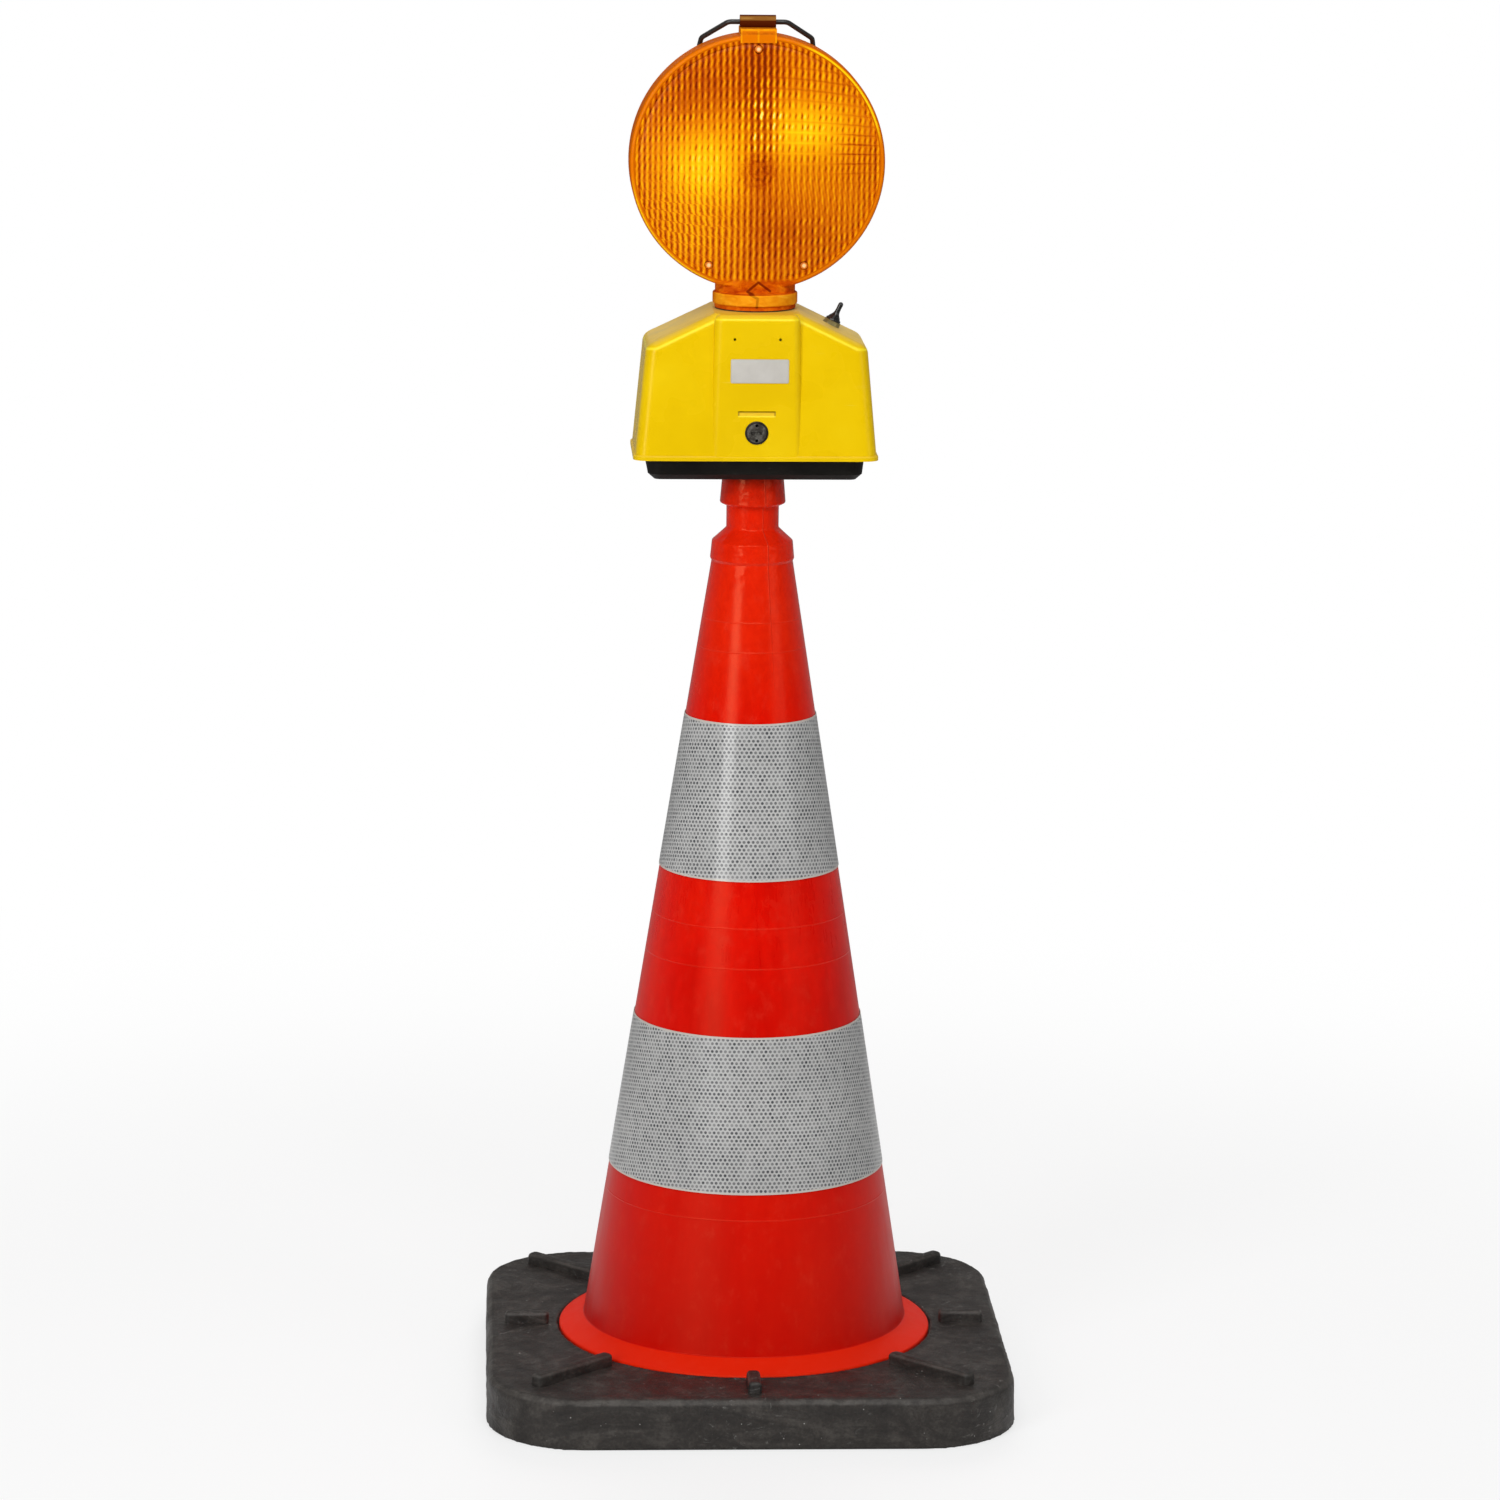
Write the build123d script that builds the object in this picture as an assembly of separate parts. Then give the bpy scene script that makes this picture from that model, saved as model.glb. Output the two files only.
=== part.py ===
from build123d import *
from math import asin, atan2, cos, degrees, hypot, pi, radians, sin, sqrt, tan
import os

# Traffic cone with a two-sided battery warning light plugged into its top.
# Millimetres. The origin is on the floor under the middle of the base, +Z is up,
# the light's lock faces -Y and its switch is on the +X side.

# Clearances
pin_gap = 0.1           # a turning pin, barrel or neck in its bore
slide_gap = 0.4         # the lamp's spigot in the cone's bore
pass_gap = 0.5          # pieces that lift past each other
stop_gap = 0.35         # the hanging bail and the rim it rests over
glue_gap = 0.3          # the glue under the sheet of a reflective band

# Base plate
base_side = 427.0
base_thickness = 42.0
base_corner_radius = 80.0
base_draft = 1.5
base_edge_radius = 8.0
base_foot_chamfer = 2.0
rib_count = 8
rib_width = 11.0
rib_height = 9.0
rib_edge_radius = 4.0
rib_flange_gap = 7.0
side_rib_length = 36.0
corner_rib_length = 85.0
recess_gap = 1.6
snap_ledge_height = 20.0
snap_pocket_gap = 1.5

# Cone shell
cone_height = 750.0
cone_wall = 3.2
cone_top_radius = 32.8
cone_bottom_radius = 133.8
flange_radius = 152.6
flange_thickness = 5.5
flange_edge_radius = 2.0
flange_rise = 9.5
flange_root_radius = 1.0
skirt_lift = 12.0
skirt_gap = 0.5
snap_depth = 2.6
snap_play = 0.3
bead_radius = 33.9
bead_lip = 2.4
bead_height = 13.9
shoulder_radius = 32.6
shoulder_height = 10.6
shoulder_edge_radius = 2.5
neck_radius = 21.1
neck_length = 17.8
knob_radius = 26.5
knob_top_radius = 24.5
knob_height = 23.6
knob_underside = 2.5
knob_edge_radius = 1.5

# Reflective bands
band_height = 125.0
band_thickness = 0.45
lower_band_z = 181.0
upper_band_z = 429.5

# Spigot
spigot_radius = 17.6
spigot_wall = 2.0
spigot_length = 120.0
spigot_flange_radius = 32.0
spigot_flange_thickness = 3.0
spigot_screw_count = 4
spigot_screw_circle = 27.0
spigot_screw_radius = 2.0
spigot_screw_head = 3.8
spigot_screw_end = 0.5

# Tray
tray_width = 174.0
tray_depth = 87.0
tray_height = 17.0
tray_taper = 7.0
tray_corner_radius = 12.0
tray_edge_chamfer = 4.5
tray_floor = 3.0
tray_wall = 3.0
tray_rim_height = 10.0
tray_flange_lift = 0.6
tray_flange_thickness = 2.5
tray_flange_gap = 0.9
fence_wall = 2.0
fence_height = 14.0
gasket_thickness = 2.5
gasket_width = 4.5

# Batteries
battery_side = 66.0
battery_height = 97.0
battery_corner_radius = 6.0
battery_gap = 2.0
battery_play = 0.3
battery_cap_height = 3.0
battery_cap_inset = 1.5
pad_width = 28.0
pad_margin = 1.0
pad_corner_radius = 5.0
terminal_height = 9.0
terminal_turns = 3
terminal_base_radius = 6.5
terminal_tip_radius = 3.0
terminal_wire_radius = 0.6
terminal_offset_x = 20.0
terminal_offset_y = 20.0

# Hood
hood_width = 192.6
hood_depth = 105.0
hood_height = 116.0
hood_wall = 3.0
hood_corner_radius = 10.0
hood_side_draft = 5.3
hood_face_draft = 3.5
shoulder_angle = 25.7
shoulder_edge_round = 9.0
tower_width = 67.8
tower_draft = 1.6
tower_proud = 0.6
tower_corner_radius = 7.0
tower_top_round = 6.0
lip_height = 4.0
lip_proud = 1.2
ledge_thickness = 3.0
vent_radius = 1.0
vent_spacing = 36.0
vent_drop = 19.0
slot_width = 29.7
slot_height = 4.7
slot_depth = 1.8
slot_drop = 78.4

# Contact board
board_width = 90.0
board_depth = 54.0
board_thickness = 1.6
board_corner_radius = 3.0
board_post_radius = 3.5
board_post_x = 39.0
board_post_y = 21.0
board_screw_radius = 1.4
board_screw_head = 2.8
board_screw_head_height = 1.8
board_screw_bite = 5.0
strip_length = 16.0
strip_width = 9.0
strip_thickness = 0.6
strip_lift = 0.3
plug_width = 15.0
plug_depth = 9.0
plug_height = 7.0

# Lock
lock_radius = 9.25
lock_drop = 93.4
lock_proud = 1.0
lock_tail_radius = 7.0
lock_pin_radius = 1.1
lock_pin_spacing = 12.0
lock_pin_depth = 3.0
lock_slot_width = 2.4
lock_slot_length = 9.0
lock_slot_depth = 1.5
lock_edge_radius = 0.8
lock_nut_radius = 12.0
lock_nut_thickness = 3.0
cam_thickness = 1.6
cam_width = 8.0
cam_reach = 21.0
cam_hook_depth = 3.5
cam_hook_length = 6.0
cam_screw_radius = 1.5
cam_screw_head = 3.5
cam_screw_head_height = 1.2
cam_screw_length = 8.0
keeper_plate = 0.8
keeper_ledge = 2.5
keeper_ledge_length = 9.5
keeper_tail = 2.0
keeper_depth = 4.0
keeper_play = 0.6

# Switch
switch_x = 61.1
bush_radius = 5.0
bush_proud = 4.4
bush_mouth_flare = 0.8
washer_radius = 7.2
washer_thickness = 0.7
nut_flats = 12.0
nut_thickness = 2.6
switch_body_width = 9.0
switch_body_length = 13.0
switch_body_depth = 9.5
skirt_base_radius = 6.0
skirt_top_radius = 4.6
skirt_height = 3.6
skirt_wall = 0.9
lever_pivot_lift = 3.0
lever_ball_radius = 2.2
lever_radius = 1.2
boot_radius = 2.0
boot_start = 5.6
boot_tip = 19.5

# Lamp head
neck_seal_thickness = 1.0
neck_seal_inset = 0.5
head_step_radius = 32.3
head_step_height = 3.0
head_ring_radius = 33.9
head_ring_height = 9.5
head_ring_round = 1.5
head_neck_radius = 24.0
head_neck_bore = 20.0
head_neck_length = 13.0
throat_width = 64.0
throat_depth = 40.0
throat_wall = 3.0
throat_rise = 26.0
retainer_radius = 29.0
retainer_play = 0.4
retainer_height = 8.0
lens_rise = 117.0
lens_radius = 101.3
lens_rim_width = 7.0
lens_rim_half = 19.0
lens_rim_round = 3.0
lens_rim_step = 1.0
lens_sag = 9.0
lens_wall = 2.6
flute_pitch = 4.9
flute_land = 1.3
flute_depth = 1.0
seal_land_width = 6.8
seal_land_half = 4.0
seal_side = 1.8
lens_screw_circle = 89.5
lens_screw_spread = 25.0
lens_screw_radius = 1.5
lens_screw_head = 3.0
lens_screw_head_height = 2.0
lens_screw_bite = 13.0
lens_boss_radius = 4.2
lens_head_pocket = 3.4

# Hinge barrel on the head and the bail in it
barrel_width = 28.5
barrel_radius = 5.6
barrel_rise = 109.7
hinge_tab_rise = 4.2
hinge_tab_proud = 0.6
hinge_tab_round = 1.5
bail_wire_radius = 2.0
bail_shoulder_x = 23.3
bail_knee_x = 44.0
bail_knee_drop = 20.5
bail_grip_x = 52.0
bail_grip_drop = 86.0
bail_bend_radius = 7.0
bail_grip_bend = 14.0
bail_end_gap = 2.0

# Inside the head
disc_thickness = 2.0
disc_gap = 0.3
lamp_board_width = 14.0
lamp_board_thickness = 1.6
lamp_board_top = 14.0
led_holder_radius = 16.0
led_holder_half = 9.0
led_radius = 5.0
reflector_radius = 93.0
reflector_wall = 1.2
reflector_root = 3.0
reflector_edge = 14.5
reflector_notch_gap = 1.0
lead_radius = 0.9
lead_spread = 3.6
lead_side = 9.5
lead_straight = 4.0
lead_bend_radius = 4.0

# Levels up the stack
flange_top = base_thickness
flange_bottom = flange_top - flange_thickness
neck_top = cone_height - knob_height - knob_underside
neck_bottom = neck_top - neck_length
shoulder_bottom = neck_bottom - shoulder_height
bead_bottom = shoulder_bottom - bead_height
cone_top = bead_bottom - bead_lip
tray_bottom = cone_height
tray_inside = tray_bottom + tray_floor
tray_top = tray_bottom + tray_height
tray_flange_bottom = tray_top + tray_flange_lift
tray_flange_top = tray_flange_bottom + tray_flange_thickness
hood_bottom = tray_top
hood_top = hood_bottom + hood_height
ledge_bottom = tray_flange_top + gasket_thickness
lock_z = hood_top - lock_drop
battery_bottom = tray_inside + spigot_flange_thickness
battery_top = battery_bottom + battery_height
terminal_top = battery_top + terminal_height
board_bottom = terminal_top + strip_lift + strip_thickness
board_top = board_bottom + board_thickness
plug_top = board_top + plug_height
lens_z = hood_top + lens_rise
step_bottom = hood_top + neck_seal_thickness
ring_bottom = step_bottom + head_step_height
ring_top = ring_bottom + head_ring_height
neck_end = hood_top - head_neck_length
pivot_z = lens_z + barrel_rise

# Sizes shared by several pieces
bore_radius = spigot_radius + slide_gap
tray_inner_width = tray_width - 2 * tray_wall - 2 * tray_height * tan(radians(tray_taper))
tray_inner_depth = tray_depth - 2 * tray_wall - 2 * tray_height * tan(radians(tray_taper))
tray_inner_corner = tray_corner_radius - tray_wall
rim_width = tray_inner_width + 2 * tray_wall
rim_depth = tray_inner_depth + 2 * tray_wall
tray_flange_width = hood_width - 2 * (hood_wall + tray_flange_gap)
tray_flange_depth = hood_depth - 2 * (hood_wall + tray_flange_gap)
tower_front = hood_depth / 2 + tower_proud
tower_inside = tower_front - hood_wall
keeper_wall = -tray_inner_depth / 2
cam_front = keeper_wall + keeper_plate + pass_gap
lens_face_radius = lens_radius - lens_rim_width
lens_face_level = lens_rim_half - lens_rim_step
shoulder_normal = Vector(sin(radians(shoulder_angle)), 0, cos(radians(shoulder_angle)))
shoulder_slope = tan(radians(shoulder_angle))


# Helpers

def disc(radius, low, high):
    """An upright cylinder on the Z axis between two levels."""
    return Pos(0, 0, low) * Cylinder(radius, high - low, align=(Align.CENTER, Align.CENTER, Align.MIN))


def tube(outer, inner, low, high):
    """An upright ring on the Z axis between two levels."""
    return disc(outer, low, high) - disc(inner, low, high)


def slab(width, depth, corner, low, high):
    """An upright block with rounded corners, centred on the Z axis."""
    return Pos(0, 0, low) * extrude(RectangleRounded(width, depth, corner), high - low)


def brick(x, y, z):
    """A plain box given as three pairs of limits."""
    size = (x[1] - x[0], y[1] - y[0], z[1] - z[0])
    middle = ((x[0] + x[1]) / 2, (y[0] + y[1]) / 2, (z[0] + z[1]) / 2)
    return Pos(*middle) * Box(*size)


def peg(radius, front, back, x=0.0, z=0.0):
    """A cylinder lying along Y between two depths."""
    middle = (front + back) / 2
    return Pos(x, middle, z) * Rot(90, 0, 0) * Cylinder(radius, back - front)


def profile(points):
    """A closed outline. A third number at a point rounds that corner."""
    face = make_face(Polyline(*[point[:2] for point in points], close=True))
    for point in points:
        if len(point) > 2:
            corner = face.vertices().sort_by_distance((point[0], point[1], 0))[0]
            face = fillet(corner, point[2])
    return face


def turned(points):
    """A solid turned about the Z axis from (radius, level) points."""
    return revolve(Plane.XZ * profile(points), Axis.Z)


def round_section(path, radius):
    """A round bar swept along a path."""
    return sweep(Plane(origin=path @ 0, z_dir=path % 0) * Circle(radius), path)


def group(solids):
    """Separate solids kept together in one piece."""
    return Compound(children=list(solids))


# Cone and base

def cone_radius(level):
    """Outside radius of the cone's straight wall at a level."""
    share = (level - flange_top) / (cone_top - flange_top)
    return cone_bottom_radius + share * (cone_top_radius - cone_bottom_radius)


def base_plate():
    outline = RectangleRounded(base_side, base_side, base_corner_radius)
    plate = extrude(outline, base_thickness, taper=base_draft)
    plate = fillet(plate.faces().sort_by(Axis.Z)[-1].edges(), base_edge_radius)
    plate = chamfer(plate.faces().sort_by(Axis.Z)[0].edges(), base_foot_chamfer)
    for step in range(rib_count):
        length = corner_rib_length if step % 2 else side_rib_length
        plate += Rot(0, 0, step * 360 / rib_count) * stacking_rib(length)
    plate -= disc(flange_radius + recess_gap, flange_bottom, base_thickness + rib_height)
    plate -= disc(cone_bottom_radius + skirt_gap, 0, base_thickness)
    return plate - disc(cone_bottom_radius + snap_depth + snap_pocket_gap, 0, snap_ledge_height)


def stacking_rib(length):
    """A rounded rib on the plate's top that runs outward along +X."""
    start = flange_radius + recess_gap + rib_flange_gap
    sunk = base_thickness - base_edge_radius
    half = rib_width / 2
    rib = brick((start, start + length), (-half, half), (sunk, base_thickness + rib_height))
    top = rib.faces().sort_by(Axis.Z)[-1]
    return fillet(top.edges() + rib.edges().filter_by(Axis.Z), rib_edge_radius)


def cone_shell():
    inner_bottom = cone_bottom_radius - cone_wall
    flange_root = flange_top + flange_rise
    snap_radius = cone_bottom_radius + snap_depth
    snap_top = snap_ledge_height - snap_play
    return turned([
        (inner_bottom, skirt_lift),
        (cone_bottom_radius, skirt_lift),
        (snap_radius, snap_top - snap_depth),
        (snap_radius, snap_top),
        (cone_bottom_radius, snap_top),
        (cone_bottom_radius, flange_bottom),
        (flange_radius, flange_bottom),
        (flange_radius, flange_top, flange_edge_radius),
        (cone_radius(flange_root), flange_root, flange_root_radius),
        (cone_top_radius, cone_top),
        (bead_radius, bead_bottom),
        (shoulder_radius, shoulder_bottom, shoulder_edge_radius),
        (neck_radius, neck_bottom, shoulder_edge_radius),
        (neck_radius, neck_top),
        (knob_radius, neck_top + knob_underside, knob_edge_radius),
        (knob_top_radius, cone_height, knob_edge_radius),
        (bore_radius, cone_height),
        (bore_radius, neck_bottom - cone_wall),
        (shoulder_radius - cone_wall, shoulder_bottom - cone_wall),
        (cone_top_radius - cone_wall, cone_top),
        (inner_bottom, flange_top),
    ])


def reflective_band(low):
    """A thin sheet wrapped round the cone."""
    high = low + band_height
    inner = glue_gap
    outer = glue_gap + band_thickness
    return turned([
        (cone_radius(low) + inner, low),
        (cone_radius(low) + outer, low),
        (cone_radius(high) + outer, high),
        (cone_radius(high) + inner, high),
    ])


# Lower case of the lamp

def spigot_tube():
    bottom = tray_bottom - spigot_length
    spigot = disc(spigot_radius, bottom, tray_inside)
    spigot += disc(spigot_flange_radius, tray_inside, battery_bottom)
    spigot -= disc(spigot_radius - spigot_wall, bottom, battery_bottom)
    spigot = chamfer(spigot.edges().group_by(Axis.Z)[0].sort_by(SortBy.RADIUS)[-1], spigot_wall / 2)
    for place in spigot_screw_places():
        spigot -= place * countersunk(spigot_screw_radius, spigot_screw_head, battery_bottom, tray_bottom)
    return spigot


def spigot_screw_places():
    return PolarLocations(spigot_screw_circle, spigot_screw_count, start_angle=180 / spigot_screw_count)


def countersunk(radius, head, top, end):
    """A countersunk screw on the Z axis, head upward."""
    return turned([(0, top), (head, top), (radius, top - head + radius), (radius, end), (0, end)])


def spigot_screws():
    end = tray_bottom + spigot_screw_end
    screw = countersunk(spigot_screw_radius, spigot_screw_head, battery_bottom, end)
    return group(place * screw for place in spigot_screw_places())


def tray():
    rim_top = tray_flange_top + tray_rim_height
    outline = RectangleRounded(tray_width, tray_depth, tray_corner_radius)
    case = Pos(0, 0, tray_top) * Rot(180, 0, 0) * extrude(outline, tray_height, taper=tray_taper)
    case = chamfer(case.faces().sort_by(Axis.Z)[0].edges(), tray_edge_chamfer)
    case += slab(rim_width, rim_depth, tray_inner_corner + tray_wall, tray_top, rim_top)
    case += slab(tray_flange_width, tray_flange_depth, hood_corner_radius - hood_wall,
                 tray_flange_bottom, tray_flange_top)
    case -= slab(tray_inner_width, tray_inner_depth, tray_inner_corner, tray_inside, rim_top)
    case += battery_fence()
    case -= disc(spigot_radius, tray_bottom, tray_inside)
    for place in spigot_screw_places():
        case -= place * disc(spigot_screw_radius, tray_bottom, tray_inside)
    return case


def battery_fence():
    """The low wall on the tray's floor that the two batteries stand in."""
    width = 2 * battery_side + battery_gap + 2 * battery_play
    depth = battery_side + 2 * battery_play
    corner = battery_corner_radius
    top = tray_inside + fence_height
    outer = slab(width + 2 * fence_wall, depth + 2 * fence_wall, corner + fence_wall, tray_inside, top)
    return outer - slab(width, depth, corner, tray_inside, top)


def tray_gasket():
    outer = slab(rim_width + 2 * gasket_width, rim_depth + 2 * gasket_width, tray_corner_radius,
                 tray_flange_top, ledge_bottom)
    return outer - slab(rim_width, rim_depth, tray_inner_corner + tray_wall, tray_flange_top, ledge_bottom)


def battery_x(side):
    """Middle of the left (-1) or right (+1) battery."""
    return side * (battery_side + battery_gap) / 2


def battery_pads():
    depth = battery_side - 2 * pad_margin
    outer_edge = battery_gap / 2 + battery_side - pad_margin
    pad = slab(pad_width, depth, pad_corner_radius, tray_inside, battery_bottom)
    return group(Pos(side * (outer_edge - pad_width / 2), 0, 0) * pad for side in (-1, 1))


def battery(side):
    cap_bottom = battery_top - battery_cap_height
    cap_side = battery_side - 2 * battery_cap_inset
    body = slab(battery_side, battery_side, battery_corner_radius, battery_bottom, cap_bottom)
    cap = slab(cap_side, cap_side, battery_corner_radius - battery_cap_inset, cap_bottom, battery_top)
    return Pos(battery_x(side), 0, 0) * (body + cap)


def terminal_places():
    """Spring terminals: one in the middle of each battery, one near an inner corner."""
    places = []
    for side in (-1, 1):
        places.append((battery_x(side), 0))
        places.append((battery_x(side) - side * terminal_offset_x, terminal_offset_y))
    return places


def spring_terminal():
    """A conical coil spring with its foot at the origin, from quarter-turn arcs."""
    rise = terminal_height - 2 * terminal_wire_radius
    shrink = terminal_tip_radius - terminal_base_radius

    def coil_point(turn):
        share = turn / terminal_turns
        radius = terminal_base_radius + shrink * share
        angle = 2 * pi * turn
        return (radius * cos(angle), radius * sin(angle), terminal_wire_radius + rise * share)

    arcs = []
    for quarter in range(4 * terminal_turns):
        arcs.append(ThreePointArc(*[coil_point((quarter + part) / 4) for part in (0, 0.5, 1)]))
    return round_section(Wire(arcs), terminal_wire_radius)


def battery_terminals():
    spring = spring_terminal()
    return group(Pos(x, y, battery_top) * spring for x, y in terminal_places())


def lock_keeper():
    """An angle on the tray's rim whose ledge the turned cam hooks under."""
    left = cam_width / 2 + pass_gap
    hook_top = lock_z - cam_reach + cam_hook_depth
    low = hook_top + keeper_play
    high = low + keeper_ledge
    right = left + keeper_ledge_length
    ledge = brick((left, right), (keeper_wall, keeper_wall + keeper_depth), (low, high))
    back = keeper_wall + keeper_plate
    plate = brick((left, right + keeper_tail), (keeper_wall, back), (tray_flange_bottom, high))
    return plate + ledge


# Upper case of the lamp

def hood_form(inset, low):
    """The hood's outside, or its hollow where inset is the wall."""
    top = hood_top - inset

    def level(z):
        rise = z - hood_bottom
        width = hood_width - 2 * (inset + rise * tan(radians(hood_side_draft)))
        depth = hood_depth - 2 * (inset + rise * tan(radians(hood_face_draft)))
        return Pos(0, 0, z) * RectangleRounded(width, depth, hood_corner_radius - inset)

    body = loft([level(low), level(top)])
    for side in (-1, 1):
        normal = Vector(side * shoulder_normal.X, 0, shoulder_normal.Z)
        ridge = Vector(side * tower_width / 2, 0, hood_top) - normal * inset
        body = split(body, bisect_by=Plane(origin=ridge, z_dir=normal), keep=Keep.BOTTOM)
    return body


def tower_form(inset, low):
    """The upright block in the hood's middle that carries the lamp head."""
    top = hood_top - inset

    def level(z):
        width = tower_width - 2 * inset + 2 * (hood_top - z) * tan(radians(tower_draft))
        depth = 2 * (tower_front - inset)
        return Pos(0, 0, z) * RectangleRounded(width, depth, tower_corner_radius - inset)

    return loft([level(low), level(top)])


def shoulder_edges(body):
    """Edges round the two sloping faces, without the ridges at the tower."""
    edges = ShapeList()
    for side in (-1, 1):
        normal = Vector(side * shoulder_normal.X, 0, shoulder_normal.Z)
        slopes = [face for face in body.faces() if (face.normal_at() - normal).length < 0.01]
        for slope in slopes:
            edges += [edge for edge in slope.edges() if abs(edge.center().X) > tower_width / 2 + 1]
    return edges


def hood_shell():
    body = hood_form(0, hood_bottom)
    body = fillet(shoulder_edges(body), shoulder_edge_round)
    tower = tower_form(0, hood_bottom)
    tower = fillet(tower.faces().sort_by(Axis.Z)[-1].edges(), tower_top_round)
    lip = slab(hood_width + 2 * lip_proud, hood_depth + 2 * lip_proud, hood_corner_radius + lip_proud,
               hood_bottom, hood_bottom + lip_height)
    lip = chamfer(lip.faces().sort_by(Axis.Z)[-1].edges(), lip_proud)
    hood = body + tower + lip
    hollow = hood_form(hood_wall, hood_bottom)
    hood -= fillet(shoulder_edges(hollow), shoulder_edge_round - hood_wall)
    hood -= tower_form(hood_wall, hood_bottom)
    hood += hood_ledge()
    hood += board_posts()
    hood -= disc(head_neck_radius + pin_gap, board_top, hood_top)
    hood -= shoulder_frame() * Cylinder(bush_radius, 4 * hood_wall)
    hood -= peg(lock_radius + pin_gap, -tower_front - hood_wall, -tower_inside + hood_wall, z=lock_z)
    hood -= finger_slot()
    for side in (-1, 1):
        hood -= peg(vent_radius, -tower_front - hood_wall, -tower_inside + hood_wall,
                    x=side * vent_spacing / 2, z=hood_top - vent_drop)
    for x, y in board_post_places():
        hood -= Pos(x, y, 0) * disc(board_screw_radius, board_top, board_top + board_screw_bite)
    return hood


def hood_ledge():
    """The ledge inside the hood that presses on the tray's gasket."""
    high = ledge_bottom + ledge_thickness
    layer = slab(hood_width, hood_depth, hood_corner_radius, ledge_bottom, high)
    way = slab(rim_width + 2 * pass_gap, rim_depth + 2 * pass_gap, tray_corner_radius, ledge_bottom, high)
    return hood_form(hood_wall / 2, hood_bottom) & layer - way


def board_post_places():
    return [(x, y) for x in (-board_post_x, board_post_x) for y in (-board_post_y, board_post_y)]


def board_posts():
    """Posts that hang from the sloping roof to the contact board."""
    roof = hood_form(hood_wall / 2, hood_bottom)
    posts = Part()
    for x, y in board_post_places():
        posts += Pos(x, y, 0) * disc(board_post_radius, board_top, hood_top) & roof
    return posts


def finger_slot():
    """A ramped recess over the lock, deepest at its top edge."""
    top = hood_top - slot_drop + slot_height / 2
    face = -tower_front
    ramp = profile([(face, top), (face + slot_depth, top), (face, top - slot_height)])
    return extrude(Plane.YZ * ramp, slot_width / 2, both=True)


def shoulder_frame():
    """The switch's frame: on the right shoulder's surface, Z along its normal."""
    height = hood_top - (switch_x - tower_width / 2) * shoulder_slope
    along = Vector(shoulder_normal.Z, 0, -shoulder_normal.X)
    return Plane(origin=(switch_x, 0, height), x_dir=along, z_dir=shoulder_normal)


def contact_board():
    board = slab(board_width, board_depth, board_corner_radius, board_bottom, board_top)
    for x, y in board_post_places():
        board -= Pos(x, y, 0) * disc(board_screw_radius, board_bottom, board_top)
    return board


def board_plug():
    plug = slab(plug_width, plug_depth, board_screw_radius, board_top, plug_top)
    return chamfer(plug.faces().sort_by(Axis.Z)[-1].edges(), lead_radius)


def contact_strips():
    high = board_bottom
    low = high - strip_thickness
    strips = []
    for x, y in terminal_places():
        strips.append(Pos(x, y, 0) * slab(strip_length, strip_width, strip_thickness, low, high))
    return group(strips)


def board_screws():
    head = disc(board_screw_head, board_bottom - board_screw_head_height, board_bottom)
    screw = head + disc(board_screw_radius, board_bottom, board_top + board_screw_bite)
    return group(Pos(x, y, 0) * screw for x, y in board_post_places())


# Lock

def lock_barrel():
    front = -tower_front - lock_proud
    barrel = peg(lock_radius, front, -tower_inside, z=lock_z)
    barrel = fillet(barrel.faces().sort_by(Axis.Y)[0].edges(), lock_edge_radius)
    barrel += peg(lock_tail_radius, -tower_inside, cam_front, z=lock_z)
    for side in (-1, 1):
        pin_z = lock_z + side * lock_pin_spacing / 2
        barrel -= peg(lock_pin_radius, front, front + lock_pin_depth, z=pin_z)
    slot_z = (lock_z - lock_slot_width / 2, lock_z + lock_slot_width / 2)
    barrel -= brick((-lock_slot_length / 2, lock_slot_length / 2), (front, front + lock_slot_depth), slot_z)
    return barrel - peg(cam_screw_radius, cam_front - cam_screw_length, cam_front, z=lock_z)


def lock_nut():
    front = -tower_inside
    back = front + lock_nut_thickness
    nut = peg(lock_nut_radius, front, back, z=lock_z)
    return nut - peg(lock_tail_radius + pin_gap, front, back, z=lock_z)


def lock_cam():
    """A hooked arm, pointing to -X while the lock is open."""
    back = cam_front + cam_thickness
    cam = peg(lock_tail_radius, cam_front, back, z=lock_z)
    cam += brick((-cam_reach, 0), (cam_front, back), (lock_z - cam_width / 2, lock_z + cam_width / 2))
    hook_low = lock_z - cam_width / 2 - cam_hook_length
    cam += brick((-cam_reach, -cam_reach + cam_hook_depth), (cam_front, back), (hook_low, lock_z))
    return cam - peg(cam_screw_radius, cam_front, back, z=lock_z)


def cam_screw():
    back = cam_front + cam_thickness
    shank = peg(cam_screw_radius, cam_front - cam_screw_length, back, z=lock_z)
    return shank + peg(cam_screw_head, back, back + cam_screw_head_height, z=lock_z)


# Switch

def switch_body():
    inside = -hood_wall
    body = Box(switch_body_width, switch_body_length, switch_body_depth)
    body = Pos(0, 0, inside - switch_body_depth / 2) * body
    body += disc(bush_radius, inside, bush_proud)
    socket = Pos(0, 0, lever_pivot_lift) * Sphere(lever_ball_radius + pin_gap)
    mouth = turned([(0, lever_pivot_lift), (lever_ball_radius, lever_pivot_lift),
                    (lever_ball_radius + bush_mouth_flare, bush_proud), (0, bush_proud)])
    return shoulder_frame() * (body - socket - mouth)


def switch_washer():
    return shoulder_frame() * tube(washer_radius, bush_radius, 0, washer_thickness)


def switch_nut():
    hexagon = RegularPolygon(nut_flats / 2, 6, major_radius=False)
    nut = Pos(0, 0, washer_thickness) * extrude(hexagon, nut_thickness)
    return shoulder_frame() * (nut - disc(bush_radius, washer_thickness, washer_thickness + nut_thickness))


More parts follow.
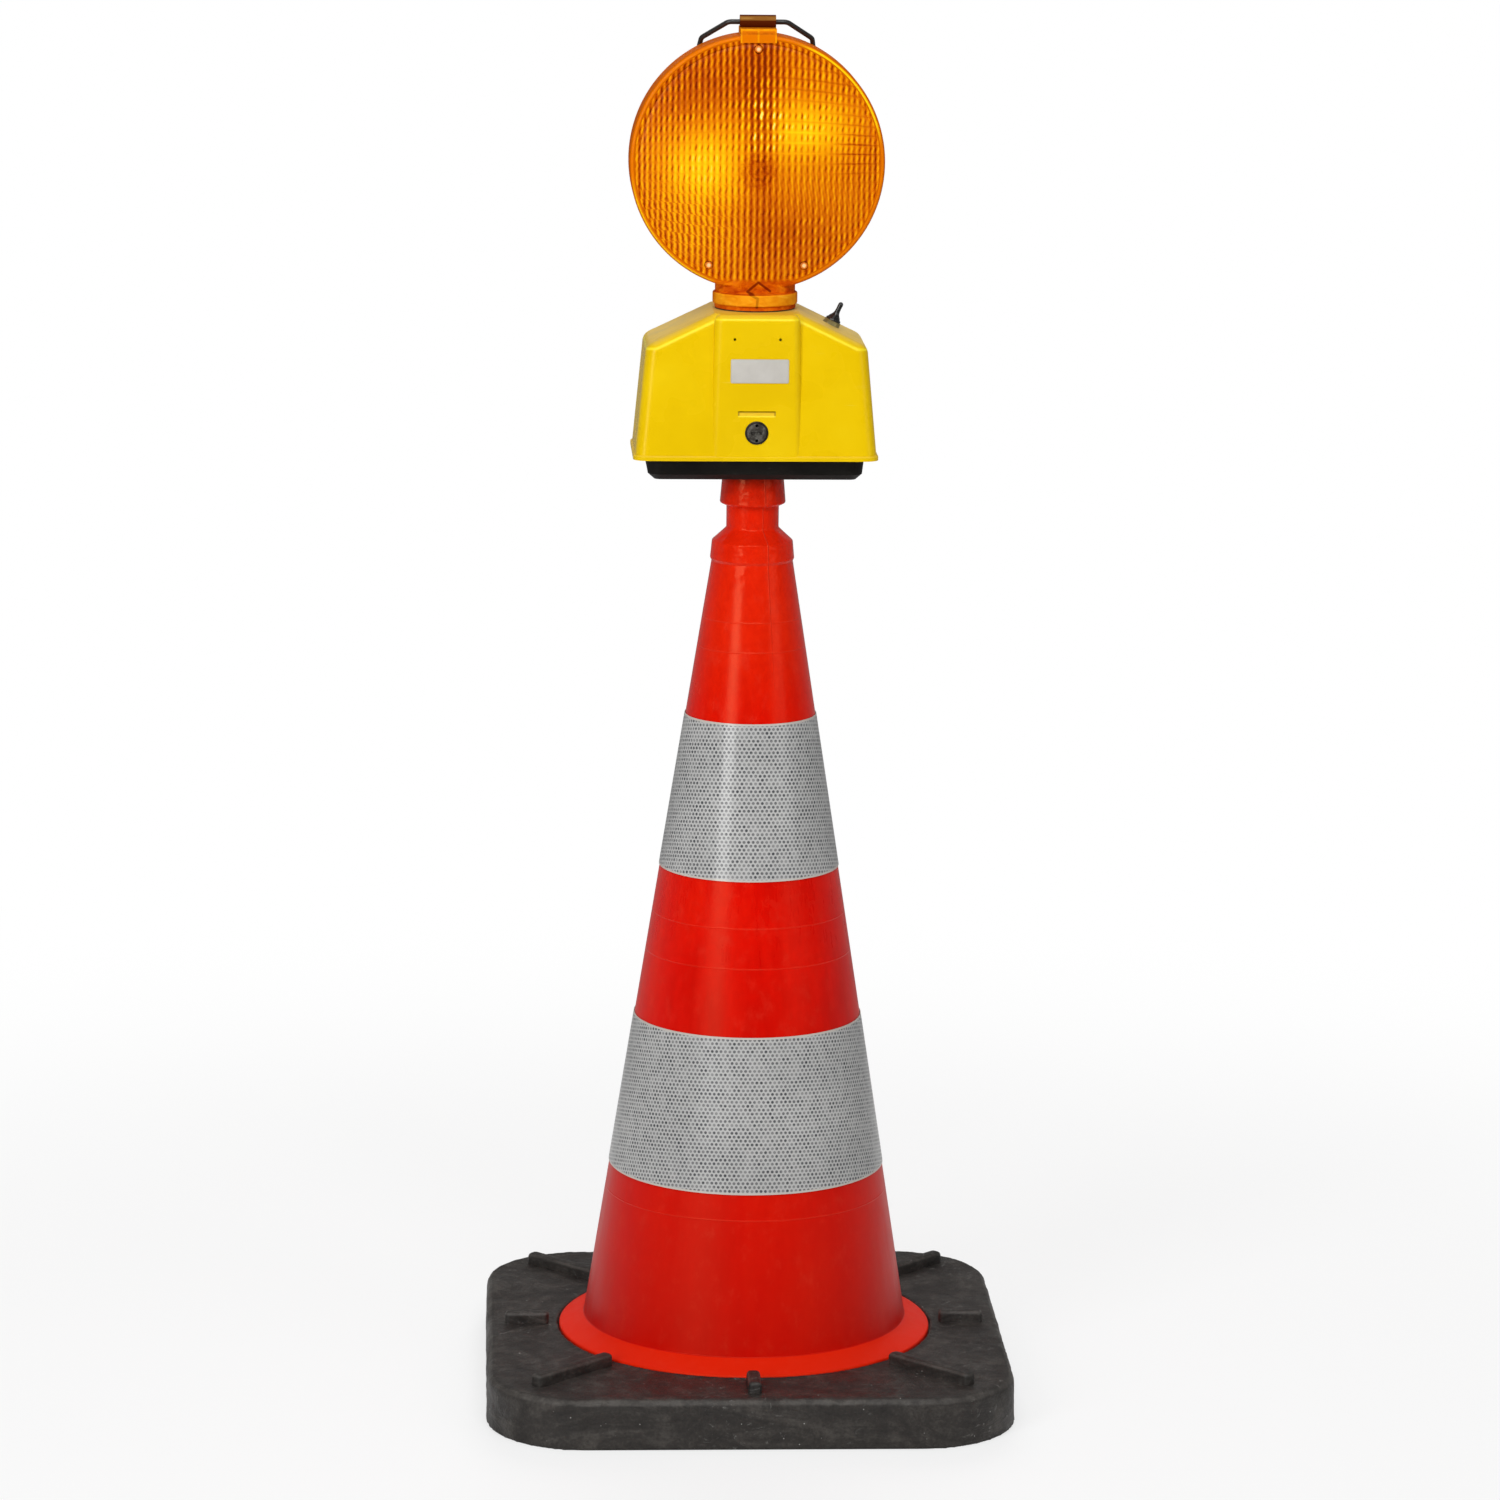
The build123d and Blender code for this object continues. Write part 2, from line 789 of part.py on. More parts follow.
def boot_skirt():
    """The fixed foot of the rubber boot, on the nut."""
    low = washer_thickness + nut_thickness
    high = low + skirt_height
    return shoulder_frame() * turned([
        (bush_radius + pin_gap, low),
        (skirt_base_radius, low),
        (skirt_top_radius, high),
        (skirt_top_radius - skirt_wall, high),
        (bush_radius + pin_gap, bush_proud + pin_gap),
    ])


def switch_lever():
    ball = Pos(0, 0, lever_pivot_lift) * Sphere(lever_ball_radius)
    return shoulder_frame() * (ball + disc(lever_radius, lever_pivot_lift, boot_tip - boot_radius))


def boot_sleeve():
    """The rubber sleeve on the lever, round at its tip."""
    sleeve = disc(boot_radius, boot_start, boot_tip - boot_radius)
    sleeve += Pos(0, 0, boot_tip - boot_radius) * Sphere(boot_radius)
    return shoulder_frame() * (sleeve - disc(lever_radius, boot_start, boot_tip - boot_radius))


# Lamp head

def neck_seal():
    return tube(head_step_radius - neck_seal_inset, head_neck_radius + pass_gap, hood_top, step_bottom)


def dome(radius, level, sag):
    """A solid about the Y axis from its middle out to a domed face on +Y."""
    sphere = (radius ** 2 + sag ** 2) / (2 * sag)
    top = level + sag
    halfway = top - sphere + sqrt(sphere ** 2 - (radius / 2) ** 2)
    edge = Polyline((0, top), (0, 0), (radius, 0), (radius, level))
    face = make_face(edge + ThreePointArc((radius, level), (radius / 2, halfway), (0, top)))
    return revolve(face, Axis.Y)


def both_ways(solid):
    """A solid and its mirror image across the lens joint."""
    return solid + mirror(solid, about=Plane.XZ)


def lens_form():
    """The closed outside of the lens, about the Y axis through its own middle."""
    rim = revolve(profile([
        (0, -lens_rim_half),
        (lens_radius, -lens_rim_half, lens_rim_round),
        (lens_radius, lens_rim_half, lens_rim_round),
        (0, lens_rim_half),
    ]), Axis.Y)
    for side in (-1, 1):
        rim -= peg(lens_face_radius, *sorted((side * lens_face_level, side * lens_rim_half)))
    return rim + both_ways(dome(lens_face_radius, lens_face_level, lens_sag))


def lens_hollow():
    """The inside of the lens, less the land that the gasket lies in."""
    half = lens_rim_half - lens_rim_step - lens_wall
    hollow = peg(lens_radius - lens_wall, -half, half)
    land = peg(lens_radius, -seal_land_half, seal_land_half)
    land -= peg(lens_radius - seal_land_width, -seal_land_half, seal_land_half)
    hollow -= land
    radius = lens_face_radius - lens_wall
    level = lens_face_level - lens_wall
    fluted = dome(radius, level, lens_sag) & flute_slots(radius)
    return hollow + both_ways(dome(radius, level - flute_depth, lens_sag) + fluted)


def flute_slots(radius):
    """Upright slots across the lens, between the fine ribs inside its face."""
    half = lens_rim_half + lens_sag
    count = int(radius / flute_pitch)
    slot = Pos(0, half / 2, 0) * Box(flute_pitch - flute_land, half, 2 * radius)
    slots = Part()
    return slots + [Pos(step * flute_pitch, 0, 0) * slot for step in range(-count, count + 1)]


def oval(width, depth, low, high):
    """An upright oval column on the Z axis."""
    return Pos(0, 0, low) * extrude(SlotOverall(width, depth), high - low)


def lens_screw_places():
    """Lens screws: one at the top, two at the bottom beside the neck."""
    angles = (90, 270 - lens_screw_spread, 270 + lens_screw_spread)
    places = []
    for angle in angles:
        turn = radians(angle)
        places.append((lens_screw_circle * cos(turn), lens_z + lens_screw_circle * sin(turn)))
    return places


def head_shell():
    """The whole lamp head moulding, before it is parted into two lenses."""
    outside = Pos(0, 0, lens_z) * lens_form()
    head = outside + oval(throat_width, throat_depth, ring_top, ring_top + throat_rise)
    ring = disc(head_ring_radius, ring_bottom, ring_top)
    head += fillet(ring.edges(), head_ring_round)
    head += disc(head_step_radius, step_bottom, ring_bottom)
    head += disc(head_neck_radius, neck_end, step_bottom)
    head += hinge_barrel()
    head -= Pos(0, 0, lens_z) * lens_hollow()
    head -= throat_hollow()
    head -= disc(head_neck_bore, neck_end, ring_top)
    head -= disc(disc_radius(), ring_bottom, ring_top)
    head += lens_bosses(outside)
    head -= seal_ring(seal_side)
    for x, z in lens_screw_places():
        head -= peg(lens_screw_radius, -lens_rim_half, lens_screw_bite, x, z)
        head -= peg(lens_head_pocket, -lens_rim_half - lens_sag, screw_seat(), x, z)
    return head


def throat_hollow():
    inner_width = throat_width - 2 * throat_wall
    inner_depth = throat_depth - 2 * throat_wall
    return oval(inner_width, inner_depth, ring_bottom + disc_thickness, ring_top + throat_rise)


def disc_radius():
    """Radius of the pocket inside the ring where the neck disc lies."""
    return head_ring_radius - throat_wall - head_ring_round


def screw_seat():
    """Depth of the shoulder under each lens screw's head."""
    return -lens_rim_half + lens_screw_head_height


def lens_bosses(outside):
    bosses = Part()
    for x, z in lens_screw_places():
        bosses += peg(lens_boss_radius, -lens_rim_half, lens_rim_half, x, z) & outside
    return bosses


def seal_ring(side):
    """The gasket's square ring on the joint face, open at the throat."""
    middle = lens_radius - seal_land_width / 2
    ring = peg(middle + side / 2, -side / 2, side / 2) - peg(middle - side / 2, -side / 2, side / 2)
    opening = oval(throat_width, throat_depth, ring_top, ring_top + throat_rise)
    return Pos(0, 0, lens_z) * ring - opening


def hinge_barrel():
    """The barrel that the bail's wire turns in, on the tab across the top of the rim."""
    barrel = Pos(0, 0, pivot_z) * Rot(0, 90, 0) * Cylinder(barrel_radius, barrel_width)
    tab_half = lens_rim_half + hinge_tab_proud
    tab = brick((-barrel_width / 2, barrel_width / 2), (-tab_half, tab_half),
                (lens_z + lens_face_radius, lens_z + lens_radius + hinge_tab_rise))
    tab = fillet(tab.edges().filter_by(Axis.X).group_by(Axis.Z)[-1], hinge_tab_round)
    bore = Pos(0, 0, pivot_z) * Rot(0, 90, 0) * Cylinder(bail_wire_radius + pin_gap, barrel_width)
    return barrel + tab - bore


def lens_half(head, keep):
    """The front (top) or rear (bottom) half of the parted head moulding."""
    return split(head, bisect_by=Plane.XZ, keep=keep)


def lens_screws():
    screws = []
    for x, z in lens_screw_places():
        head = peg(lens_screw_head, screw_seat() - lens_screw_head_height, screw_seat(), x, z)
        head = fillet(head.faces().sort_by(Axis.Y)[0].edges(), lens_screw_head_height / 2)
        screws.append(head + peg(lens_screw_radius, screw_seat(), lens_screw_bite, x, z))
    return group(screws)


def neck_retainer():
    """The ring screwed on the neck under the hood's roof."""
    high = hood_top - hood_wall - retainer_play
    return tube(retainer_radius, head_neck_radius, high - retainer_height, high)


def neck_disc():
    low = ring_bottom
    high = low + disc_thickness
    slot_half = (lamp_board_width / 2, lamp_board_thickness / 2)
    plate = disc(disc_radius() - disc_gap, low, high)
    plate -= brick((-slot_half[0], slot_half[0]), (-slot_half[1], slot_half[1]), (low, high))
    for side in (-1, 1):
        plate -= Pos(side * lead_side, 0, 0) * disc(2 * lead_radius, low, high)
    return plate


def lamp_board():
    return brick((-lamp_board_width / 2, lamp_board_width / 2),
                 (-lamp_board_thickness / 2, lamp_board_thickness / 2),
                 (ring_bottom, lens_z + lamp_board_top))


def led_holders():
    half = lamp_board_thickness / 2
    holders = []
    for side in (-1, 1):
        holder = peg(led_holder_radius, *sorted((side * half, side * led_holder_half)), z=lens_z)
        holders.append(chamfer(holder.faces().sort_by(Axis.Y)[min(side, 0)].edges(), lead_radius))
    return group(holders)


def leds():
    lamps = []
    for side in (-1, 1):
        start = Pos(0, side * led_holder_half, lens_z)
        ball = start * Sphere(led_radius)
        lamps.append(ball - peg(2 * led_radius, *sorted((0, side * led_holder_half)), z=lens_z))
    return group(lamps)


def reflector(side):
    """A concave dish round the LED holder, notched for the lens screws' bosses."""
    inner = led_holder_radius
    middle = (inner + reflector_radius) / 2

    def depth(radius):
        share = (radius ** 2 - inner ** 2) / (reflector_radius ** 2 - inner ** 2)
        return reflector_root + (reflector_edge - reflector_root) * share

    front = ThreePointArc(*[(r, depth(r)) for r in (inner, middle, reflector_radius)])
    back = ThreePointArc(*[(r, depth(r) - reflector_wall) for r in (inner, middle, reflector_radius)])
    ends = Line(front @ 0, back @ 0) + Line(front @ 1, back @ 1)
    dish = revolve(make_face(front + back + ends), Axis.Y)
    if side < 0:
        dish = mirror(dish, about=Plane.XZ)
    dish = Pos(0, 0, lens_z) * dish
    for x, z in lens_screw_places():
        dish -= peg(lens_boss_radius + reflector_notch_gap, -lens_rim_half, lens_rim_half, x, z)
    return dish


def lamp_leads():
    """Two wires from the plug's top, through the neck, up to the lamp board."""
    leads = []
    for side in (-1, 1):
        start = plug_top + lead_radius
        route = [
            (side * lead_spread, 0, start),
            (side * lead_spread, 0, start + lead_straight),
            (side * lead_side, 0, ring_bottom - lead_straight),
            (side * lead_side, 0, lens_z - led_holder_radius - lead_side),
        ]
        leads.append(round_section(FilletPolyline(*route, radius=lead_bend_radius), lead_radius))
    return group(leads)


# Bail

def bail_rest_angle():
    """Tilt from straight down at which the hanging wire stops over the rim."""
    edge = lens_radius - lens_rim_round
    down = barrel_rise - sqrt(edge ** 2 - bail_knee_x ** 2)
    back = lens_rim_half - lens_rim_round
    reach = lens_rim_round + bail_wire_radius + stop_gap
    return degrees(atan2(back, down) + asin(reach / hypot(back, down)))


def bail():
    """The carrying handle: one bent wire whose two ends meet inside the barrel."""
    half = [
        (bail_end_gap / 2, 0),
        (bail_shoulder_x, 0),
        (bail_knee_x, bail_knee_drop),
        (bail_grip_x, bail_grip_drop),
    ]
    route = half + [(-x, drop) for x, drop in reversed(half)]
    bends = [bail_bend_radius, bail_bend_radius, bail_grip_bend]
    path = FilletPolyline(*[(x, 0, -drop) for x, drop in route], radius=bends + bends[::-1])
    wire = round_section(path, bail_wire_radius)
    return Pos(0, 0, pivot_z) * Rot(bail_rest_angle(), 0, 0) * wire


head_moulding = head_shell()

pieces = {
    "base_plate": base_plate(),
    "cone_shell": cone_shell(),
    "reflective_band_lower": reflective_band(lower_band_z),
    "reflective_band_upper": reflective_band(upper_band_z),
    "spigot_tube": spigot_tube(),
    "spigot_screws": spigot_screws(),
    "tray": tray(),
    "tray_gasket": tray_gasket(),
    "battery_pads": battery_pads(),
    "battery_left": battery(-1),
    "battery_right": battery(1),
    "battery_terminals": battery_terminals(),
    "lock_keeper": lock_keeper(),
    "hood_shell": hood_shell(),
    "contact_board": contact_board(),
    "contact_strips": contact_strips(),
    "board_screws": board_screws(),
    "board_plug": board_plug(),
    "lock_barrel": lock_barrel(),
    "lock_nut": lock_nut(),
    "lock_cam": lock_cam(),
    "cam_screw": cam_screw(),
    "switch_body": switch_body(),
    "switch_washer": switch_washer(),
    "switch_nut": switch_nut(),
    "boot_skirt": boot_skirt(),
    "switch_lever": switch_lever(),
    "boot_sleeve": boot_sleeve(),
    "neck_seal": neck_seal(),
    "lens_front": lens_half(head_moulding, Keep.TOP),
    "lens_rear": lens_half(head_moulding, Keep.BOTTOM),
    "lens_gasket": seal_ring(seal_side),
    "lens_screws": lens_screws(),
    "neck_retainer": neck_retainer(),
    "neck_disc": neck_disc(),
    "lamp_board": lamp_board(),
    "led_holders": led_holders(),
    "leds": leds(),
    "reflector_front": reflector(-1),
    "reflector_rear": reflector(1),
    "lamp_leads": lamp_leads(),
    "bail": bail(),
}

os.makedirs("parts", exist_ok=True)
for name, solid in pieces.items():
    export_step(solid, f"parts/{name}.step")
print(f"{len(pieces)} pieces, bail rests at {bail_rest_angle():.2f} degrees")
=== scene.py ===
import bpy
import bmesh
from math import cos, hypot, pi, radians, sin, sqrt
from mathutils import Matrix, Vector
from mathutils.noise import fractal


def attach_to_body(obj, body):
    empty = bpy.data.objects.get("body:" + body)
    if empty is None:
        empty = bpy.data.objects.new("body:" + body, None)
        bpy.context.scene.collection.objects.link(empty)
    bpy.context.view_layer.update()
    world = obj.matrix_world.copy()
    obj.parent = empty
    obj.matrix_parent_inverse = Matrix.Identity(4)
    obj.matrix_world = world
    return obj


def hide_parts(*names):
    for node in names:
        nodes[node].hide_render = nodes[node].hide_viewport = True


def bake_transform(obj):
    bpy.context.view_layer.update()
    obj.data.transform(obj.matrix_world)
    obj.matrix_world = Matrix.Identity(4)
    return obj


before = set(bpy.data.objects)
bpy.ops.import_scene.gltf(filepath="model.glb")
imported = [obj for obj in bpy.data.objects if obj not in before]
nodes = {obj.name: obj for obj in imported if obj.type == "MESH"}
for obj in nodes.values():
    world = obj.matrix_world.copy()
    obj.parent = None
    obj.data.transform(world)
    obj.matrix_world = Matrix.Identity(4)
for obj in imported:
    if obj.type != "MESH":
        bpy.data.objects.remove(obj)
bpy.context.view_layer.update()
mm = 0.001  # sizes in the dictionaries are in millimetres
weld = 0.0005  # vertices closer than this become one
noiseRange = (0.3, 0.7)  # most of a noise lies between these levels
print("frame loaded with", len(nodes), "nodes")


# shader helpers: they draw in the node tree of the material or world that was begun last
easel = {"tree": None, "material": None, "shader": None}


class Value:  # what a node gives: sums and products of values add math nodes
    def __init__(self, socket):
        self.socket = socket

    def __add__(self, other):
        return calc("ADD", self, other)

    def __sub__(self, other):
        return calc("SUBTRACT", self, other)

    def __rsub__(self, other):
        return calc("SUBTRACT", other, self)

    def __mul__(self, other):
        return calc("MULTIPLY", self, other)

    def __truediv__(self, other):
        return calc("DIVIDE", self, other)

    def __pow__(self, other):
        return calc("POWER", self, other)

    def __abs__(self):
        return calc("ABSOLUTE", self)


def startMaterial(name, gloss=0.5, **constants):
    material = bpy.data.materials.new(name)
    material.use_nodes = True
    shader = material.node_tree.nodes["Principled BSDF"]
    for socketName, value in {"Specular_IOR_Level": gloss, **constants}.items():
        shader.inputs[socketName.replace("_", " ")].default_value = value
    easel.update(tree=material.node_tree, material=material, shader=shader)


def finishMaterial(colour, rough, normal=None):
    for name, value in (("Base Color", colour), ("Roughness", rough), ("Normal", normal)):
        feed(value, easel["shader"].inputs[name])
    return easel["material"]


def feed(value, socket):
    if isinstance(value, Value):
        easel["tree"].links.new(value.socket, socket)
    elif value is not None:
        socket.default_value = value


def addNode(kind, inputs=(), **settings):
    node = easel["tree"].nodes.new("ShaderNode" + kind)
    for name, setting in settings.items():
        setattr(node, name, setting)
    for key, value in dict(inputs).items():
        feed(value, node.inputs[key])
    return node


def result(node, key=0):
    return Value(node.outputs[key])


def calc(operation, *values, clamp=False):
    return result(addNode("Math", enumerate(values), operation=operation, use_clamp=clamp))


def vectorCalc(operation, *values, out="Vector"):
    return result(addNode("VectorMath", enumerate(values), operation=operation), out)


def highest(first, *others):
    for other in others:
        first = calc("MAXIMUM", first, other)
    return first


def lowest(first, *others):
    for other in others:
        first = calc("MINIMUM", first, other)
    return first


def distance(a, b):
    return calc("SQRT", a * a + b * b)


def place(scale=(1, 1, 1), shift=(0, 0, 0), turn=(0, 0, 0)):
    spot = result(addNode("TexCoord"), "Object")
    return result(addNode("Mapping", {"Vector": spot, "Scale": scale, "Location": shift, "Rotation": turn}))


def parts(vector):
    node = addNode("SeparateXYZ", {0: vector})
    return [result(node, axis) for axis in range(3)]


def spotInMm(centre=(0, 0, 0)):
    return parts(place(scale=(1 / mm, 1 / mm, 1 / mm), shift=[-value for value in centre]))


def facingUp():
    return parts(result(addNode("NewGeometry"), "Normal"))[2]


def noise(fineness, detail=4, rough=0.55, distortion=0, where=None, **placing):
    return result(addNode("TexNoise", {"Vector": where or place(**placing), "Scale": fineness,
                                       "Detail": detail, "Roughness": rough, "Distortion": distortion}))


def cells(scale):
    return result(addNode("TexVoronoi", {"Vector": place(), "Scale": scale}), "Distance")


def chance(a, b):
    pair = result(addNode("CombineXYZ", {0: a, 1: b}))
    return result(addNode("TexWhiteNoise", {"Vector": pair}), "Value")


def spread(value, low, high, toLow=0.0, toHigh=1.0):
    numbers = enumerate((value, low, high, toLow, toHigh))
    return result(addNode("MapRange", numbers, interpolation_type="SMOOTHSTEP"))


def fall(value, low, high):
    return spread(value, low, high, 1.0, 0.0)


def vary(grain, low, high):
    return spread(grain, *noiseRange, low, high)


def ramp(value, *stops):
    node = addNode("ValToRGB", {"Fac": value})
    elements = node.color_ramp.elements
    while len(elements) < len(stops):
        elements.new(0.5)
    for element, (position, colour) in zip(elements, stops):
        element.position = position
        element.color = (*colour, 1)
    return result(node)


def tones(grain, dark, pale):
    return ramp(grain, *zip(noiseRange, (dark, pale)))


def mix(share, a, b):
    a, b = [(*colour, 1) if isinstance(colour, tuple) else colour for colour in (a, b)]
    return result(addNode("Mix", {0: share, 6: a, 7: b}, data_type="RGBA"), 2)  # 6, 7 and 2 are its colours


def bump(height, depth, strength=1.0, under=None):
    return result(addNode("Bump", {"Height": height, "Distance": depth, "Strength": strength,
                                   "Normal": under}))


# mesh helpers

def addObject(name, data):
    added = bpy.data.objects.new(name, data)
    bpy.context.scene.collection.objects.link(added)
    return added


def meshFrom(bm, name):
    mesh = bpy.data.meshes.new(name)
    bm.to_mesh(mesh)
    bm.free()
    return mesh


def attach(piece, body, replaced):
    if body:
        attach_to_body(piece, body)
    if replaced:
        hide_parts(*replaced)


def makePiece(name, bm, material, body, replaced=(), sharp=35):
    bmesh.ops.remove_doubles(bm, verts=bm.verts, dist=weld * mm)
    bmesh.ops.recalc_face_normals(bm, faces=bm.faces)
    for face in bm.faces:
        face.smooth = True
    mesh = meshFrom(bm, name)
    mesh.set_sharp_from_angle(angle=radians(sharp))
    mesh.materials.append(material)
    piece = addObject(name, mesh)
    attach(piece, body, replaced)
    return piece


def outline(bm, points, close=False):
    verts = [bm.verts.new((radius * mm, 0, level * mm)) for radius, level in points]
    pairs = list(zip(verts, verts[1:])) + ([(verts[-1], verts[0])] if close else [])
    return verts + [bm.edges.new(pair) for pair in pairs]


def spinUpright(bm, geometry, steps):
    bmesh.ops.spin(bm, geom=geometry, cent=(0, 0, 0), axis=(0, 0, 1), angle=2 * pi, steps=steps,
                   use_merge=True)


def roundEdges(bm, edges, offset, segments):
    return bmesh.ops.bevel(bm, geom=edges, offset=offset, affect="EDGES", segments=segments, profile=0.5,
                           material=-1)["verts"]


def thicken(bm, step):
    made = bmesh.ops.extrude_face_region(bm, geom=bm.faces[:], use_keep_orig=True)["geom"]
    bmesh.ops.translate(bm, vec=step, verts=[part for part in made if isinstance(part, bmesh.types.BMVert)])


def dress(material, *names):
    for name in names:
        slots = nodes[name].data.materials
        slots.clear()
        slots.append(material)


def facing(spot, target):
    turn = (Vector(target) - Vector(spot)).to_track_quat("-Z", "Y")
    return Matrix.Translation(spot) @ turn.to_matrix().to_4x4()


# camera at the photograph's viewing angle
cameraView = {"distance": 4.559, "height": 1.437, "azimuth": -2.8, "aimHeight": 0.523,
              "lens": 137.76, "roll": 0.62}


def placeCamera():
    camera = addObject("camera", bpy.data.cameras.new("camera"))
    angle = radians(cameraView["azimuth"])
    reach = cameraView["distance"]
    spot = (reach * sin(angle), -reach * cos(angle), cameraView["height"])
    roll = Matrix.Rotation(radians(cameraView["roll"]), 4, "Z")
    camera.matrix_world = facing(spot, (0, 0, cameraView["aimHeight"])) @ roll
    camera.data.sensor_width = 36
    camera.data.lens = cameraView["lens"]
    camera.data.clip_end = 100
    bpy.context.scene.camera = camera


placeCamera()
print("camera placed")


# studio: pale floor, white surround, soft lamps
studioLook = {"floorSize": 60.0, "floorColour": (0.86, 0.86, 0.86), "nearGlow": 0.68, "farGlow": 1.0,
              "nearRadius": 0.35, "farRadius": 1.9, "ambient": 0.12, "frontShade": 0.04,
              "sweepShade": 0.25, "frontFrom": -0.4, "frontTo": -1.6, "sweepTurn": 0.35, "lampAim": 0.6,
              "lamps": {"keyBox": {"spot": (-2.3, -3.0, 1.95), "size": (1.3, 2.7), "power": 64},
                        "fillBox": {"spot": (2.9, -2.3, 1.7), "size": (1.8, 2.2), "power": 16},
                        "topBox": {"spot": (0.1, -2.5, 3.3), "size": (2.4, 1.4), "power": 60},
                        "skyBox": {"spot": (0.0, 0.4, 4.2), "size": (3.6, 3.6), "power": 40},
                        "backBox": {"spot": (0.3, 3.8, 2.3), "size": (2.6, 2.4), "power": 95}}}


def rayKinds():
    path = addNode("LightPath")
    seen = highest(result(path, "Is Camera Ray"), result(path, "Is Transmission Ray"))
    return seen, result(path, "Is Glossy Ray"), result(path, "Is Diffuse Ray")


def sweepLight(depth, front, behind):  # the white sweep stands behind, the room in front is dim
    return spread(depth, front, behind, studioLook["frontShade"], studioLook["sweepShade"])


def makeFloor():
    bm = bmesh.new()
    bmesh.ops.create_grid(bm, x_segments=4, y_segments=4, size=studioLook["floorSize"] / 2)
    floor = addObject("floor", meshFrom(bm, "floor"))
    startMaterial("paleFloor", Roughness=0.9, Base_Color=(*studioLook["floorColour"], 1))
    spot = place()
    far = spread(vectorCalc("LENGTH", spot, out="Value"), studioLook["nearRadius"], studioLook["farRadius"])
    glow = spread(far, 0.0, 1.0, studioLook["nearGlow"], studioLook["farGlow"])
    lit = sweepLight(parts(spot)[1], studioLook["frontTo"], studioLook["frontFrom"])
    seen, glossy, _ = rayKinds()
    white = result(addNode("Emission", {"Strength": glossy * lit + seen}))
    share = highest(seen * glow, glossy * far)
    surface = result(addNode("MixShader", {0: share, 1: result(easel["shader"]), 2: white}))
    feed(surface, easel["tree"].nodes["Material Output"].inputs["Surface"])
    floor.data.materials.append(easel["material"])


def makeLight():
    world = bpy.data.worlds.new("studio")
    world.use_nodes = True
    easel["tree"] = world.node_tree
    background = world.node_tree.nodes["Background"]
    background.inputs["Color"].default_value = (1, 1, 1, 1)
    depth = parts(result(addNode("TexCoord"), "Generated"))[1]
    sweep = sweepLight(depth, -studioLook["sweepTurn"], studioLook["sweepTurn"])
    seen, glossy, diffuse = rayKinds()
    feed(diffuse * studioLook["ambient"] + (glossy * sweep + seen), background.inputs["Strength"])
    bpy.context.scene.world = world
    for name, lamp in studioLook["lamps"].items():
        light = bpy.data.lights.new(name, "AREA")
        light.shape = "RECTANGLE"
        light.size, light.size_y = lamp["size"]
        light.energy = lamp["power"]
        holder = addObject(name, light)
        holder.visible_camera = False
        holder.visible_glossy = name != "backBox"  # no glare along the outline from behind
        holder.matrix_world = facing(lamp["spot"], (0, 0, studioLook["lampAim"]))


makeFloor()
makeLight()
bpy.context.scene.view_settings.view_transform = "Standard"
print("studio ready")


# cone: satin red plastic with faint mould lines, drag streaks and a parting seam
coneLook = {"deep": (0.55, 0.0010, 0.0), "plain": (0.74, 0.0025, 0.0), "fresh": (0.84, 0.012, 0.001),
            "upper": (0.82, 0.026, 0.003), "upperFrom": 520.0, "upperTo": 640.0, "line": (0.88, 0.07, 0.03),
            "flange": (0.76, 0.013, 0.0), "flangeTop": (52.0, 60.0), "flangeProud": (0.3, 0.9),
            "chalk": (0.80, 0.10, 0.05), "gloss": (1.0, 0.42, 0.20, 1.0), "foot": 44.0, "paleFrom": 420.0,
            "mouldLines": (634.0, 610.5, 392.0, 360.0, 160.0), "lineWidth": 0.8, "lineHeight": 0.45,
            "seamTurn": 20.0, "seamWidth": 0.7, "seamFade": (560.0, 680.0), "dented": (640.0, 690.0),
            "bottomRadius": 133.8, "bottomLevel": 42.0, "taper": 0.1585,
            "paintedKnobShade": (0.13, 0.006, 0.002), "knobFoot": (724.0, 728.0), "knobCap": (740.0, 750.0)}


def coneRadius(level):
    return coneLook["bottomRadius"] - coneLook["taper"] * (level - coneLook["bottomLevel"])


